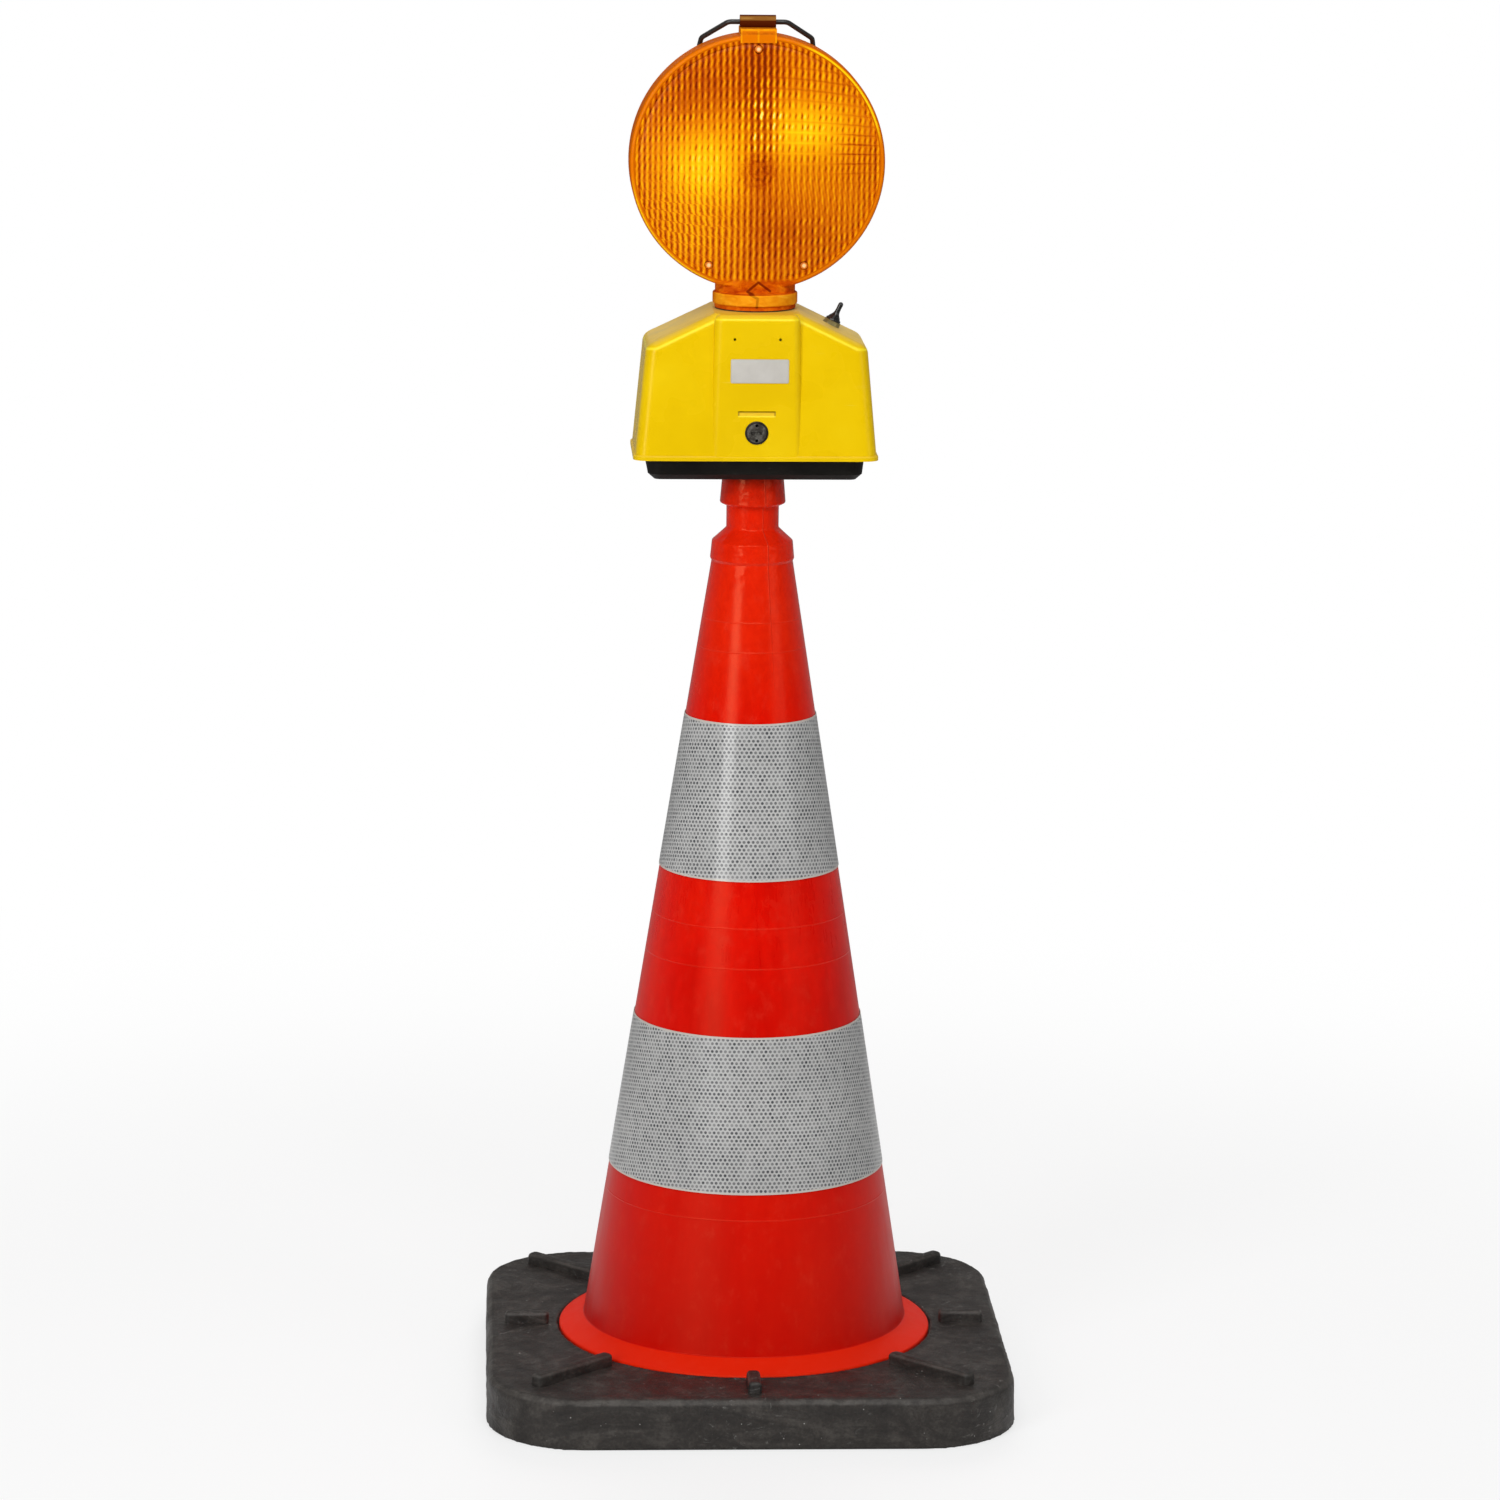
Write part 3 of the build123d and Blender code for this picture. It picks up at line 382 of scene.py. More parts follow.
def coneRed():
    startMaterial("coneRed", gloss=0.34, Specular_Tint=coneLook["gloss"])
    x, y, z = spotInMm()
    patches = noise(9, 3, scale=(1, 1, 0.5))
    streaks = noise(1.6, 4, 0.6, scale=(60, 60, 2.2))
    colour = ramp(streaks * 0.25 + patches * 0.75,
                  (0.32, coneLook["deep"]), (0.5, coneLook["plain"]), (0.7, coneLook["fresh"]))
    upper = spread(z, coneLook["upperFrom"], coneLook["upperTo"], 0.0, 0.6)
    colour = mix(upper, colour, coneLook["upper"])
    # darker towards the foot: painted shade
    foot = spread(z, coneLook["foot"], coneLook["paleFrom"], 0.65, 0.0)
    colour = mix(foot, colour, coneLook["deep"])
    mottle = noise(130, 5, 0.7)
    colour = mix(spread(mottle, 0.35, 0.65, 0.22, 0.0), colour, coneLook["deep"])
    # painted shade darkens the knob, most of all at its top under the tray
    paintedKnobShade = spread(z, *coneLook["knobFoot"], 0.0, 0.2) + spread(z, *coneLook["knobCap"], 0.0, 0.55)
    paintedKnobShade = paintedKnobShade * vary(mottle, 1.2, 0.8)
    colour = mix(paintedKnobShade, colour, coneLook["paintedKnobShade"])
    wall = z * -coneLook["taper"] + coneRadius(0)
    proud = distance(x, y) - wall
    onFlange = spread(proud, *coneLook["flangeProud"]) * fall(z, *coneLook["flangeTop"])
    colour = mix(onFlange, colour, coneLook["flange"])
    rub = spread(noise(85, 5, 0.7, scale=(1, 1, 0.7)), 0.5, 0.75)
    colour = mix(rub * 0.1, colour, coneLook["chalk"])
    lines = highest(*[fall(abs(z - level), 0.0, coneLook["lineWidth"]) for level in coneLook["mouldLines"]])
    turn = radians(coneLook["seamTurn"])
    across = abs(x * cos(turn) + y * sin(turn))
    seam = fall(across, 0.0, coneLook["seamWidth"]) * spread(z, *coneLook["seamFade"])
    height = seam + lines * coneLook["lineHeight"]
    normal = bump(noise(240, 3), 0.00012, 0.5)
    dents = noise(75, 2) * spread(z, *coneLook["dented"])
    normal = bump(dents, 0.0022, 0.7, normal)
    normal = bump(height, 0.0005, 0.8, normal)
    colour = mix(height * 0.3, colour, coneLook["line"])
    rough = spread(z, coneLook["foot"], coneLook["upperTo"], 0.4, 0.22)
    rough = rough + vary(streaks, -0.03, 0.03) + onFlange * 0.1
    return finishMaterial(colour, rub * 0.05 + rough, normal)


# base: recycled rubber with flow marks, scuffs and pale specks
baseLook = {"dark": (0.011, 0.009, 0.008), "plain": (0.027, 0.023, 0.020), "dusty": (0.072, 0.064, 0.056),
            "speck": (0.42, 0.41, 0.39), "specks": ((60, 0.06), (140, 0.09)), "scuff": (0.20, 0.195, 0.185),
            "wearAndPaintedSheen": (0.115, 0.105, 0.095), "depths": (0.0005, 0.002, 0.003, 0.004)}


def baseRubber():
    startMaterial("baseRubber", gloss=0.35)
    lumps = noise(22, 6, 0.6)
    flow = noise(13, 7, 0.66, 2.2, scale=(1, 1, 2.5))
    mottle = noise(75, 6, 0.7)
    grain = noise(420, 3, 0.6)
    tone = flow * 0.45 + mottle * 0.35
    colour = ramp(grain * 0.2 + tone, (0.36, baseLook["dark"]), (0.5, baseLook["plain"]),
                  (0.66, baseLook["dusty"]))
    scuff = spread(noise(46, 8, 0.74, 3.5, scale=(1, 1, 1.6)), 0.57, 0.72)
    scuff = scuff * spread(noise(9, 2, shift=(3, 1, 0)), 0.44, 0.6)
    colour = mix(scuff * 0.95, colour, baseLook["scuff"])
    drag = spread(noise(1.4, 4, 0.6, scale=(3, 160, 160)), 0.6, 0.68)
    drag = drag * spread(noise(7, 1, shift=(1, 4, 2)), 0.5, 0.6)
    colour = mix(drag * 0.4, colour, baseLook["dark"])
    specks = []
    for scale, size in baseLook["specks"]:
        dots = fall(cells(scale), size * 0.5, size)
        specks.append(dots * spread(noise(34, 1, shift=(scale, 0, 0)), 0.56, 0.6))
    colour = mix(highest(*specks) * 0.8, colour, baseLook["speck"])
    up = facingUp()
    # rounded edges and slopes are painted paler: wear and a painted sheen
    wearAndPaintedSheen = spread(up, 0.25, 0.55) * fall(up, 0.75, 0.96)
    colour = mix(wearAndPaintedSheen * spread(mottle, 0.35, 0.65, 0.15, 0.5), colour, baseLook["wearAndPaintedSheen"])
    normal = None
    for height, depth in zip((grain, mottle, flow, lumps), baseLook["depths"]):
        normal = bump(height, depth, 0.5, normal)
    rough = scuff * 0.2 + spread(lumps, 0.35, 0.65, 0.46, 0.66)
    return finishMaterial(colour, rough, normal)


baseShape = {"voxel": 2.3, "lump": 1.0, "lumpSize": 34.0, "grit": 0.7, "gritSize": 8.0, "flatBelow": 1.5,
             "keepInside": 157.0, "merge": 0.001, "top": 42.0, "cutAbove": 0.1, "ribStart": 161.2,
             "ribLengths": (36.0, 85.0), "ribCount": 8, "ribWidth": 11.0, "ribHeight": 9.0, "ribRoot": 4.0,
             "ribRound": 3.6}


def addRib(bm, step):
    length = baseShape["ribLengths"][step % 2]
    height = baseShape["ribHeight"] + baseShape["ribRoot"]
    rib = bmesh.ops.create_cube(bm, size=1)["verts"]
    bmesh.ops.scale(bm, vec=(length, baseShape["ribWidth"], height), verts=rib)
    edges = {edge for vert in rib for edge in vert.link_edges if max(v.co.z for v in edge.verts) > 0}
    rounded = roundEdges(bm, list(edges), baseShape["ribRound"], 4)
    verts = list(set(rounded) | {vert for vert in rib if vert.is_valid})
    middle = baseShape["top"] + (baseShape["ribHeight"] - baseShape["ribRoot"]) / 2
    bmesh.ops.translate(bm, vec=(baseShape["ribStart"] + length / 2, 0, middle), verts=verts)
    turn = Matrix.Rotation(2 * pi * step / baseShape["ribCount"], 3, "Z")
    bmesh.ops.rotate(bm, cent=(0, 0, 0), matrix=turn, verts=verts)
    bmesh.ops.scale(bm, vec=(mm, mm, mm), verts=verts)


def makeBase(material):
    bm = bmesh.new()
    bm.from_mesh(nodes["base_plate"].data)
    bmesh.ops.remove_doubles(bm, verts=bm.verts, dist=baseShape["merge"] * mm)
    cut = (baseShape["top"] + baseShape["cutAbove"]) * mm  # the ribs come off and are put back rounded
    bmesh.ops.bisect_plane(bm, geom=bm.verts[:] + bm.edges[:] + bm.faces[:], clear_outer=True,
                           plane_co=(0, 0, cut), plane_no=(0, 0, 1))
    bmesh.ops.holes_fill(bm, edges=[edge for edge in bm.edges if edge.is_boundary])
    source = addObject("baseSource", meshFrom(bm, "baseSource"))
    remesh = source.modifiers.new("evenFaces", "REMESH")
    remesh.mode = "VOXEL"
    remesh.voxel_size = baseShape["voxel"] * mm
    bm = bmesh.new()
    bm.from_object(source, bpy.context.evaluated_depsgraph_get())
    bpy.data.objects.remove(source)
    bm.normal_update()
    for vert in bm.verts:
        spot = vert.co / mm
        if spot.z < baseShape["flatBelow"] or hypot(spot.x, spot.y) < baseShape["keepInside"]:
            continue
        lump = 0.5 + 0.5 * fractal(spot / baseShape["lumpSize"], 1.0, 2.0, 3)
        grit = 0.5 + 0.5 * fractal(spot / baseShape["gritSize"], 0.8, 2.1, 3)
        depth = baseShape["lump"] * lump + baseShape["grit"] * grit
        vert.co -= vert.normal * max(depth, 0) * mm
    for step in range(baseShape["ribCount"]):
        addRib(bm, step)
    return makePiece("roughBase", bm, material, "cone", ["base_plate"], sharp=70)


dress(coneRed(), "cone_shell")
makeBase(baseRubber())
print("cone and base dressed")


# reflective bands: flat-cut sheet wrapped on the cone, with its dot lattice unrolled into the UV map
bandLook = {"glue": 0.3, "sheet": 0.45, "height": 125.0, "low": 181.0, "high": 429.5, "steps": 180,
            "rows": 12, "pitch": 3.6, "dot": (0.25, 0.41), "edge": 1.3, "edgeFade": 0.4,
            "sheetDark": (0.42, 0.42, 0.415), "sheetPale": (0.52, 0.518, 0.51),
            "glint": (0.64, 0.635, 0.62), "cell": (0.060, 0.063, 0.070), "border": (0.60, 0.53, 0.46)}


def bandSheet():
    startMaterial("bandSheet", gloss=0.4, Coat_Weight=0.3, Coat_Roughness=0.1)
    chart = result(addNode("UVMap", uv_map="sheet"))
    lattice = vectorCalc("MULTIPLY", chart, (1, 1 / sqrt(3), 0))
    away = []
    for shift in ((0, 0, 0), (0.5, 0.5, 0)):  # two lattices make the staggered rows
        cell = vectorCalc("FRACTION", vectorCalc("ADD", lattice, shift))
        cell = vectorCalc("SUBTRACT", cell, (0.5, 0.5, 0))
        away.append(vectorCalc("LENGTH", vectorCalc("MULTIPLY", cell, (1, sqrt(3), 0)), out="Value"))
    z = spotInMm()[2]
    half = bandLook["height"] / 2
    clear = half - bandLook["edge"]
    inside = highest(*[fall(abs(z - (low + half)), clear - bandLook["edgeFade"], clear)
                       for low in (bandLook["low"], bandLook["high"])])
    dots = fall(lowest(*away), *bandLook["dot"]) * inside
    cloud = noise(14, 3)
    colour = tones(cloud, bandLook["sheetDark"], bandLook["sheetPale"])
    colour = mix(noise(600, 2) * 0.3, colour, bandLook["glint"])
    depth = vary(noise(160, 3), 0.5, 1.0)  # cells differ in how dark they look
    colour = mix(dots * depth, colour, bandLook["cell"])
    colour = mix((1.0 - inside) * 0.7, colour, bandLook["border"])
    return finishMaterial(colour, vary(cloud, 0.24, 0.36), bump(dots * -0.3 + cloud, 0.0003, 0.5))


def makeBand(name, low, material, node):
    bm = bmesh.new()
    inner, outer = bandLook["glue"], bandLook["glue"] + bandLook["sheet"]
    levels = [low + bandLook["height"] * row / bandLook["rows"] for row in range(bandLook["rows"] + 1)]
    profile = [(coneRadius(level) + outer, level) for level in levels]
    profile += [(coneRadius(level) + inner, level) for level in (levels[-1], levels[0])]
    spinUpright(bm, outline(bm, profile, close=True), bandLook["steps"])
    chart = bm.loops.layers.uv.new("sheet")
    apex = coneLook["bottomLevel"] + coneLook["bottomRadius"] / coneLook["taper"]
    slope = hypot(1, coneLook["taper"])
    front = Vector((0, -1))
    for face in bm.faces:
        middle = front.angle_signed(face.calc_center_median().xy, 0)
        for loop in face.loops:
            spot = loop.vert.co
            turn = front.angle_signed(spot.xy, 0)
            if turn * middle < 0 and abs(turn) > 3:  # a face at the back keeps to one side of the seam
                turn = -turn
            reach = (apex - spot.z / mm) * slope / bandLook["pitch"]
            bend = turn * coneLook["taper"] / slope
            loop[chart].uv = (reach * sin(bend), reach * cos(bend))
    return makePiece(name, bm, material, "cone", [node])


sheet = bandSheet()
makeBand("bandLower", bandLook["low"], sheet, "reflective_band_lower")
makeBand("bandUpper", bandLook["high"], sheet, "reflective_band_upper")
print("bands wrapped")


# hood and tray: glossy yellow and near-black mouldings
hoodLook = {"plain": (0.83, 0.545, 0.0), "deep": (0.77, 0.49, 0.0), "fresh": (0.87, 0.595, 0.002),
            "edge": (1.0, 0.84, 0.03), "dustAndSheenColour": (0.62, 0.48, 0.21), "gloss": (1.0, 0.85, 0.40, 1.0),
            "scratch": (0.90, 0.70, 0.12), "edgeDark": (0.34, 0.19, 0.0), "ventDark": (0.14, 0.09, 0.0),
            "vents": ((-18.0, 864.0), (18.0, 864.0)), "ventEdge": (0.8, 1.3), "slotHalf": 14.85,
            "slotTop": 806.95, "slotHeight": 4.7, "sunk": (-52.9, -52.6), "frontEnd": (-40.0, -39.0),
            "dustAndSheenFade": (-52.9, 10.0)}
trayLook = {"plain": (0.005, 0.0042, 0.003), "pale": (0.012, 0.010, 0.008), "rubbed": (0.05, 0.045, 0.04)}


def hoodYellow():
    startMaterial("hoodYellow", gloss=0.36, Specular_Tint=hoodLook["gloss"])
    cloud = noise(16, 3)
    colour = ramp(cloud, (0.25, hoodLook["deep"]), (0.55, hoodLook["plain"]), (0.8, hoodLook["fresh"]))
    up = facingUp()
    x, y, z = spotInMm()
    # tops facing up get dust, made paler and stronger as a painted reflection of the bright surroundings
    dustAndSheen = spread(y, *hoodLook["dustAndSheenFade"], 0.15, 1.0) * spread(up, 0.5, 0.9)
    dustAndSheen = dustAndSheen * spread(noise(55, 6, 0.7), 0.2, 0.7, 0.3, 0.95)
    colour = mix(dustAndSheen, colour, hoodLook["dustAndSheenColour"])
    scratch = spread(noise(1.3, 3, 0.6, scale=(12, 12, 260), turn=(0.5, 0.3, 0)), 0.66, 0.72)
    scratch = scratch * spread(noise(24, 2, shift=(2, 5, 1)), 0.55, 0.68)
    colour = mix(scratch * 0.35, colour, hoodLook["scratch"])
    slotHalf, slotTop = hoodLook["slotHalf"], hoodLook["slotTop"]
    slotLow = slotTop - hoodLook["slotHeight"]
    ahead = fall(y, *hoodLook["frontEnd"])
    inSlot = fall(abs(x), slotHalf, slotHalf + 0.5) * fall(z, slotTop, slotTop + 0.4)
    inSlot = inSlot * spread(z, slotLow - 0.6, slotLow)
    inSlot = inSlot * spread(y, *hoodLook["sunk"]) * ahead
    # the rounded edges get a painted highlight
    rounds = spread(up, 0.24, 0.4) * fall(up, 0.42, 0.6) * (1.0 - inSlot)
    colour = mix(rounds * 0.75, colour, hoodLook["edge"])
    # the slot's inside is painted darker as shade in the recess
    colour = mix(inSlot * 0.9, colour, hoodLook["deep"])
    # painted shade under the slot's upper edge and at its ends
    slotEdgeShade = highest(spread(z, slotTop - 1.9, slotTop - 0.5), spread(abs(x), slotHalf - 1.6, slotHalf - 0.4))
    colour = mix(slotEdgeShade * inSlot * 0.9, colour, hoodLook["edgeDark"])
    # the vent holes are painted dark as shade in them
    for ventX, ventZ in hoodLook["vents"]:
        dark = fall(distance(x - ventX, z - ventZ), *hoodLook["ventEdge"])
        colour = mix(dark * ahead * 0.9, colour, hoodLook["ventDark"])
    rough = dustAndSheen * 0.7 + vary(cloud, 0.24, 0.32)
    normal = bump(noise(190, 2), 0.0002, 0.35)
    normal = bump(scratch, -0.0001, 0.5, normal)
    return finishMaterial(colour, rough, normal)


def trayBlack():
    startMaterial("trayBlack", gloss=0.2)
    cloud = noise(30, 5, 0.65)
    colour = ramp(cloud, (0.4, trayLook["plain"]), (0.75, trayLook["pale"]))
    rub = spread(noise(60, 6, 0.7, scale=(1, 1, 5)), 0.62, 0.75)
    colour = mix(rub * 0.3, colour, trayLook["rubbed"])
    normal = bump(noise(900, 2), 0.0002, 0.5)
    return finishMaterial(colour, spread(cloud, 0.35, 0.7, 0.46, 0.62), normal)


dress(hoodYellow(), "hood_shell")
dress(trayBlack(), "tray", "spigot_tube")
print("hood and tray dressed")


# bare plate in the middle of the hood's front
plateLook = {"size": (46.0, 0.5, 19.0), "centre": (2.0, -53.35, 838.8), "corner": 1.2, "bevel": 0.15,
             "paper": (0.60, 0.575, 0.53), "dull": (0.53, 0.505, 0.46), "edgeDark": (0.40, 0.36, 0.29),
             "grimeWide": 1.4}


def plateWhite():
    startMaterial("plateWhite", gloss=0.4)
    cloud = noise(60, 5, 0.6)
    colour = tones(cloud, plateLook["dull"], plateLook["paper"])
    x, _, z = spotInMm(plateLook["centre"])
    wide, _, tall = plateLook["size"]
    rim = fall(lowest(wide / 2 - abs(x), tall / 2 - abs(z)), 0.0, plateLook["grimeWide"])
    colour = mix(rim * (cloud * 0.9), colour, plateLook["edgeDark"])
    return finishMaterial(colour, vary(cloud, 0.3, 0.45), bump(noise(700, 2), 0.0001, 0.4))


def makePlate():
    bm = bmesh.new()
    bmesh.ops.create_cube(bm, size=1)
    bmesh.ops.scale(bm, verts=bm.verts, vec=[v * mm for v in plateLook["size"]])
    upright = [e for e in bm.edges if abs((e.verts[0].co - e.verts[1].co).y) > 0.1 * mm]
    roundEdges(bm, upright, plateLook["corner"] * mm, 5)
    front = [e for e in bm.edges if all(v.co.y < 0 for v in e.verts) and len(e.link_faces) == 2
             and e.calc_face_angle(0) > 1]
    roundEdges(bm, front, plateLook["bevel"] * mm, 2)
    bmesh.ops.translate(bm, verts=bm.verts, vec=[v * mm for v in plateLook["centre"]])
    return makePiece("barePlate", bm, plateWhite(), "hood")


makePlate()
print("bare plate set")


# lamp head: amber moulding with upright ribs crossed by rows; its lobes are painted light, and its neck and
# the wires inside it are painted
lensLook = {"centre": (0.0, 0.0, 1000.0), "faceRadius": 94.3, "faceLevel": 18.0, "sag": 9.0,
            "screwCircle": 89.5, "screwTurns": (90.0, 245.0, 295.0), "screwClear": 3.7,
            "ribPitch": 4.98, "squeeze": 7.7e-6, "rowPitch": 8.5, "rowDroop": 53000.0, "wander": 1.0,
            "relief": 0.4, "ribShare": 0.36, "rowShare": 0.14, "lift": 0.2, "skin": 0.12, "cells": 190,
            "edgeGap": 0.9, "edgeFade": 2.0,
            "dark": (0.19, 0.016, 0.0), "deep": (0.41, 0.045, 0.0), "amber": (0.74, 0.18, 0.001),
            "bright": (0.97, 0.41, 0.002), "yellow": (1.0, 0.64, 0.005), "pale": (1.0, 0.82, 0.16),
            "rim": (0.80, 0.185, 0.0), "rimDull": (0.74, 0.17, 0.001), "groove": (0.42, 0.07, 0.0),
            "wall": (0.56, 0.11, 0.0), "gloss": (1.0, 0.75, 0.45, 1.0),
            "grooveRadius": 97.6, "faceEdge": (96.8, 97.4), "streakRadius": 98.8, "borderIn": (98.8, 99.6),
            "borderOut": (100.2, 100.8), "wallFrom": (99.8, 100.9), "dullFrom": (100.3, 101.0),
            "lightLean": (0.76, 0.65), "tabHalf": 14.25, "tabTop": 105.3, "tabLow": (94.3, 94.9),
            "barrelShade": (0.085, 0.010, 0.0), "barrelPlain": (0.26, 0.10, 0.016),
            "barrelStreak": (0.42, 0.22, 0.05), "barrelStrip": (111.2, 114.4),
            "neckTop": (-95.0, -91.0), "neckHalf": (31.0, 35.0),
            "throat": ((0.3, (0.46, 0.045, 0.0)), (0.5, (0.66, 0.10, 0.0)), (0.72, (0.86, 0.22, 0.002))),
            "ring": ((0.3, (0.83, 0.25, 0.002)), (0.6, (0.93, 0.36, 0.008)), (0.8, (1.0, 0.52, 0.04))),
            "ringTop": (-104.1, -103.5), "ringLow": (-113.0, -112.2),
            "wires": (0.16, 0.006, 0.0), "wireWidth": 1.1,
            "wireRoute": ((0.0, -113.0), (0.6, -106.0), (-7.0, -102.0), (1.7, -94.6), (11.0, -101.5))}
# the light painted on the lens: zones are x, z, half width, half height and then their gains
glowLook = {"base": 0.25, "cloud": 0.14, "lower": -0.0003, "beadGain": 0.27, "blotGain": -0.25,
            "bead": (0.20, 0.38), "blot": (0.16, 0.40),
            "lobes": ((38.0, 27.0, 42.0, 25.0, 0.42, 0.10), (-43.0, -1.0, 34.0, 30.0, 0.44, -0.04)),
            "lobeBead": -0.13, "lobeBlot": -0.1, "broken": 0.12, "uneven": 0.1, "rowGap": (0.34, 0.48),
            "glows": ((-46.0, -54.0, 42.0, 30.0, 0.07), (50.0, 62.0, 34.0, 26.0, 0.07),
                      (44.0, -24.0, 46.0, 26.0, 0.06), (-44.0, 60.0, 44.0, 30.0, -0.06),
                      (46.0, -62.0, 44.0, 26.0, -0.04), (16.0, -46.0, 26.0, 26.0, -0.08)),
            "rowZones": ((52.0, 32.0, 58.0, 36.0, 1.2), (-60.0, 30.0, 45.0, 40.0, 0.8),
                         (48.0, -52.0, 46.0, 34.0, 0.7)),
            "darkRows": ((76.0, 13.0, 17.0, 19.0, -0.26), (42.0, 34.0, 30.0, 5.0, -0.16),
                         (50.0, 58.0, 36.0, 22.0, -0.12)),
            "leanZone": (-58.0, -42.0, 38.0, 30.0), "lean": 0.45, "leanJitter": 2.0,
            "jitter": 1.5, "waves": 0.05,
            "calmZone": (46.0, -24.0, 44.0, 22.0), "calmBead": -0.13, "calmBlot": 0.15, "calmFine": 0.05,
            "beadZone": (3.0, 34.0, 13.0, 27.0), "zoneBead": 0.72, "zoneLight": -0.16, "fineLean": 0.15,
            "stripX": 2.0, "stripWide": (3.0, 22.0), "stripFrom": (-40.0, 5.0), "strip": -0.12,
            "bullCentre": (0.5, -5.5), "bullFade": (15.4, 28.0), "bullStir": 17.0, "bullBare": -0.3,
            "bullRing": 6.0, "ringGain": 0.065, "ringBase": -0.09}


def hill(x, z, centreX, centreZ, wide, tall, upright=1.0):
    a = ((x - centreX) / wide) ** 2
    b = ((z - centreZ) / tall) ** 2
    return calc("EXPONENT", (b * upright + a) * -1)


def addHills(total, x, z, zones):
    for *zone, gain in zones:
        total = hill(x, z, *zone) * gain + total
    return total


def lensBeads(x, z):
    shake = [noise(230, 2, 0.6, shift=(0, seed, 0)) - 0.5 for seed in (0, 3)]
    leaning = hill(x, z, *glowLook["leanZone"])
    jitter = leaning * glowLook["leanJitter"] + glowLook["jitter"]
    x, z = [off * jitter + axis for off, axis in zip(shake, (x, z))]
    x = x ** 3 * lensLook["squeeze"] + x
    bend = x * x * (1 / lensLook["rowDroop"]) + 1.0
    rowTurn = z * bend / lensLook["rowPitch"]
    upward = calc("FRACT", rowTurn) - 0.5
    row = calc("FLOOR", rowTurn)
    drift = noise(110, 2) - 0.5
    wave = calc("SINE", rowTurn * (2 * pi))
    ribTurn = (drift * lensLook["wander"] + x) / lensLook["ribPitch"]
    ribTurn = leaning * glowLook["lean"] * upward + (wave * glowLook["waves"] + ribTurn)
    broken = addHills(glowLook["broken"], x, z, glowLook["rowZones"])
    uneven = broken + glowLook["uneven"]
    marks = []
    for shift, size in ((0.0, "bead"), (0.5, "blot")):  # painted light in pale beads along the ribs, painted shade in dark blots between them
        turn = ribTurn + shift
        across = calc("FRACT", turn) - 0.5
        luck = chance(calc("FLOOR", turn), row) - 0.5
        mark = hill(across, upward, 0.0, 0.0, *glowLook[size], broken + shift)
        marks.append(mark * (luck * uneven + 1.0))
    gap = spread(abs(upward), *glowLook["rowGap"])
    return *marks, gap


def lensGlow(x, z):
    bead, blot, gap = lensBeads(x, z)
    light = z * glowLook["lower"] + (noise(26, 3) * glowLook["cloud"] + glowLook["base"])
    beadGain, blotGain, gapGain = glowLook["beadGain"], glowLook["blotGain"], 0.0
    for *zone, gain, rowGain in glowLook["lobes"]:
        lobe = hill(x, z, *zone)
        light = lobe * gain + light
        beadGain = lobe * glowLook["lobeBead"] + beadGain
        blotGain = lobe * glowLook["lobeBlot"] + blotGain
        gapGain = lobe * rowGain + gapGain
    light = addHills(light, x, z, glowLook["glows"])
    calm = hill(x, z, *glowLook["calmZone"])
    beadGain = calm * glowLook["calmBead"] + beadGain
    blotGain = calm * glowLook["calmBlot"] + blotGain
    fine = calc("COSINE", (z * glowLook["fineLean"] + x) * (4 * pi / lensLook["ribPitch"]))
    light = fine * calm * glowLook["calmFine"] + light
    strip = fall(abs(x - glowLook["stripX"]), *glowLook["stripWide"])
    light = strip * spread(z, *glowLook["stripFrom"], 0.35, 1.0) * glowLook["strip"] + light
    shine = hill(x, z, *glowLook["beadZone"])
    light = shine * glowLook["zoneLight"] + light
    beadGain = shine * glowLook["zoneBead"] + beadGain
    bullX, bullZ = glowLook["bullCentre"]
    away = noise(150, 3, 0.7) * glowLook["bullStir"] + distance(x - bullX, z - bullZ)
    bull = fall(away, *glowLook["bullFade"])
    bare = bull * glowLook["bullBare"] + 1.0
    light = bead * (beadGain * bare) + light
    light = blot * (blotGain * bare) + light
    gapGain = addHills(gapGain, x, z, glowLook["darkRows"])
    light = gap * (1.1 - bead) * gapGain + light
    rings = calc("COSINE", away * (2 * pi / glowLook["bullRing"]))
    light = bull * (rings * glowLook["ringGain"] + glowLook["ringBase"]) + light
    return ramp(light, (0.04, lensLook["dark"]), (0.2, lensLook["deep"]), (0.42, lensLook["amber"]),
                (0.64, lensLook["bright"]), (0.84, lensLook["yellow"]), (1.0, lensLook["pale"]))


def stroke(x, z, start, end, width):
    alongX, alongZ = end[0] - start[0], end[1] - start[1]
    offX, offZ = x - start[0], z - start[1]
    dot = offX * alongX + offZ * alongZ
    share = calc("DIVIDE", dot, alongX ** 2 + alongZ ** 2, clamp=True)
    away = distance(share * -alongX + offX, share * -alongZ + offZ)
    return fall(away, width * 0.5, width * 1.3)


def lensNeck(x, z):
    # the throat is painted in dark reds as the shade inside it seen through the amber, and the wires inside
    # are painted over it
    blotch = noise(95, 3, 0.6, 1.0, scale=(1, 1, 1.8))
    colour = ramp(blotch, *lensLook["throat"])
    onRing = fall(z, *lensLook["ringTop"]) * spread(z, *lensLook["ringLow"])
    colour = mix(onRing, colour, ramp(blotch, *lensLook["ring"]))
    route = lensLook["wireRoute"]
    wires = highest(*[stroke(x, z, start, end, lensLook["wireWidth"])
                      for start, end in zip(route, route[1:])])
    wires = wires * spread(onRing, 0.0, 1.0, 0.85, 0.45)
    return mix(wires, colour, lensLook["wires"])


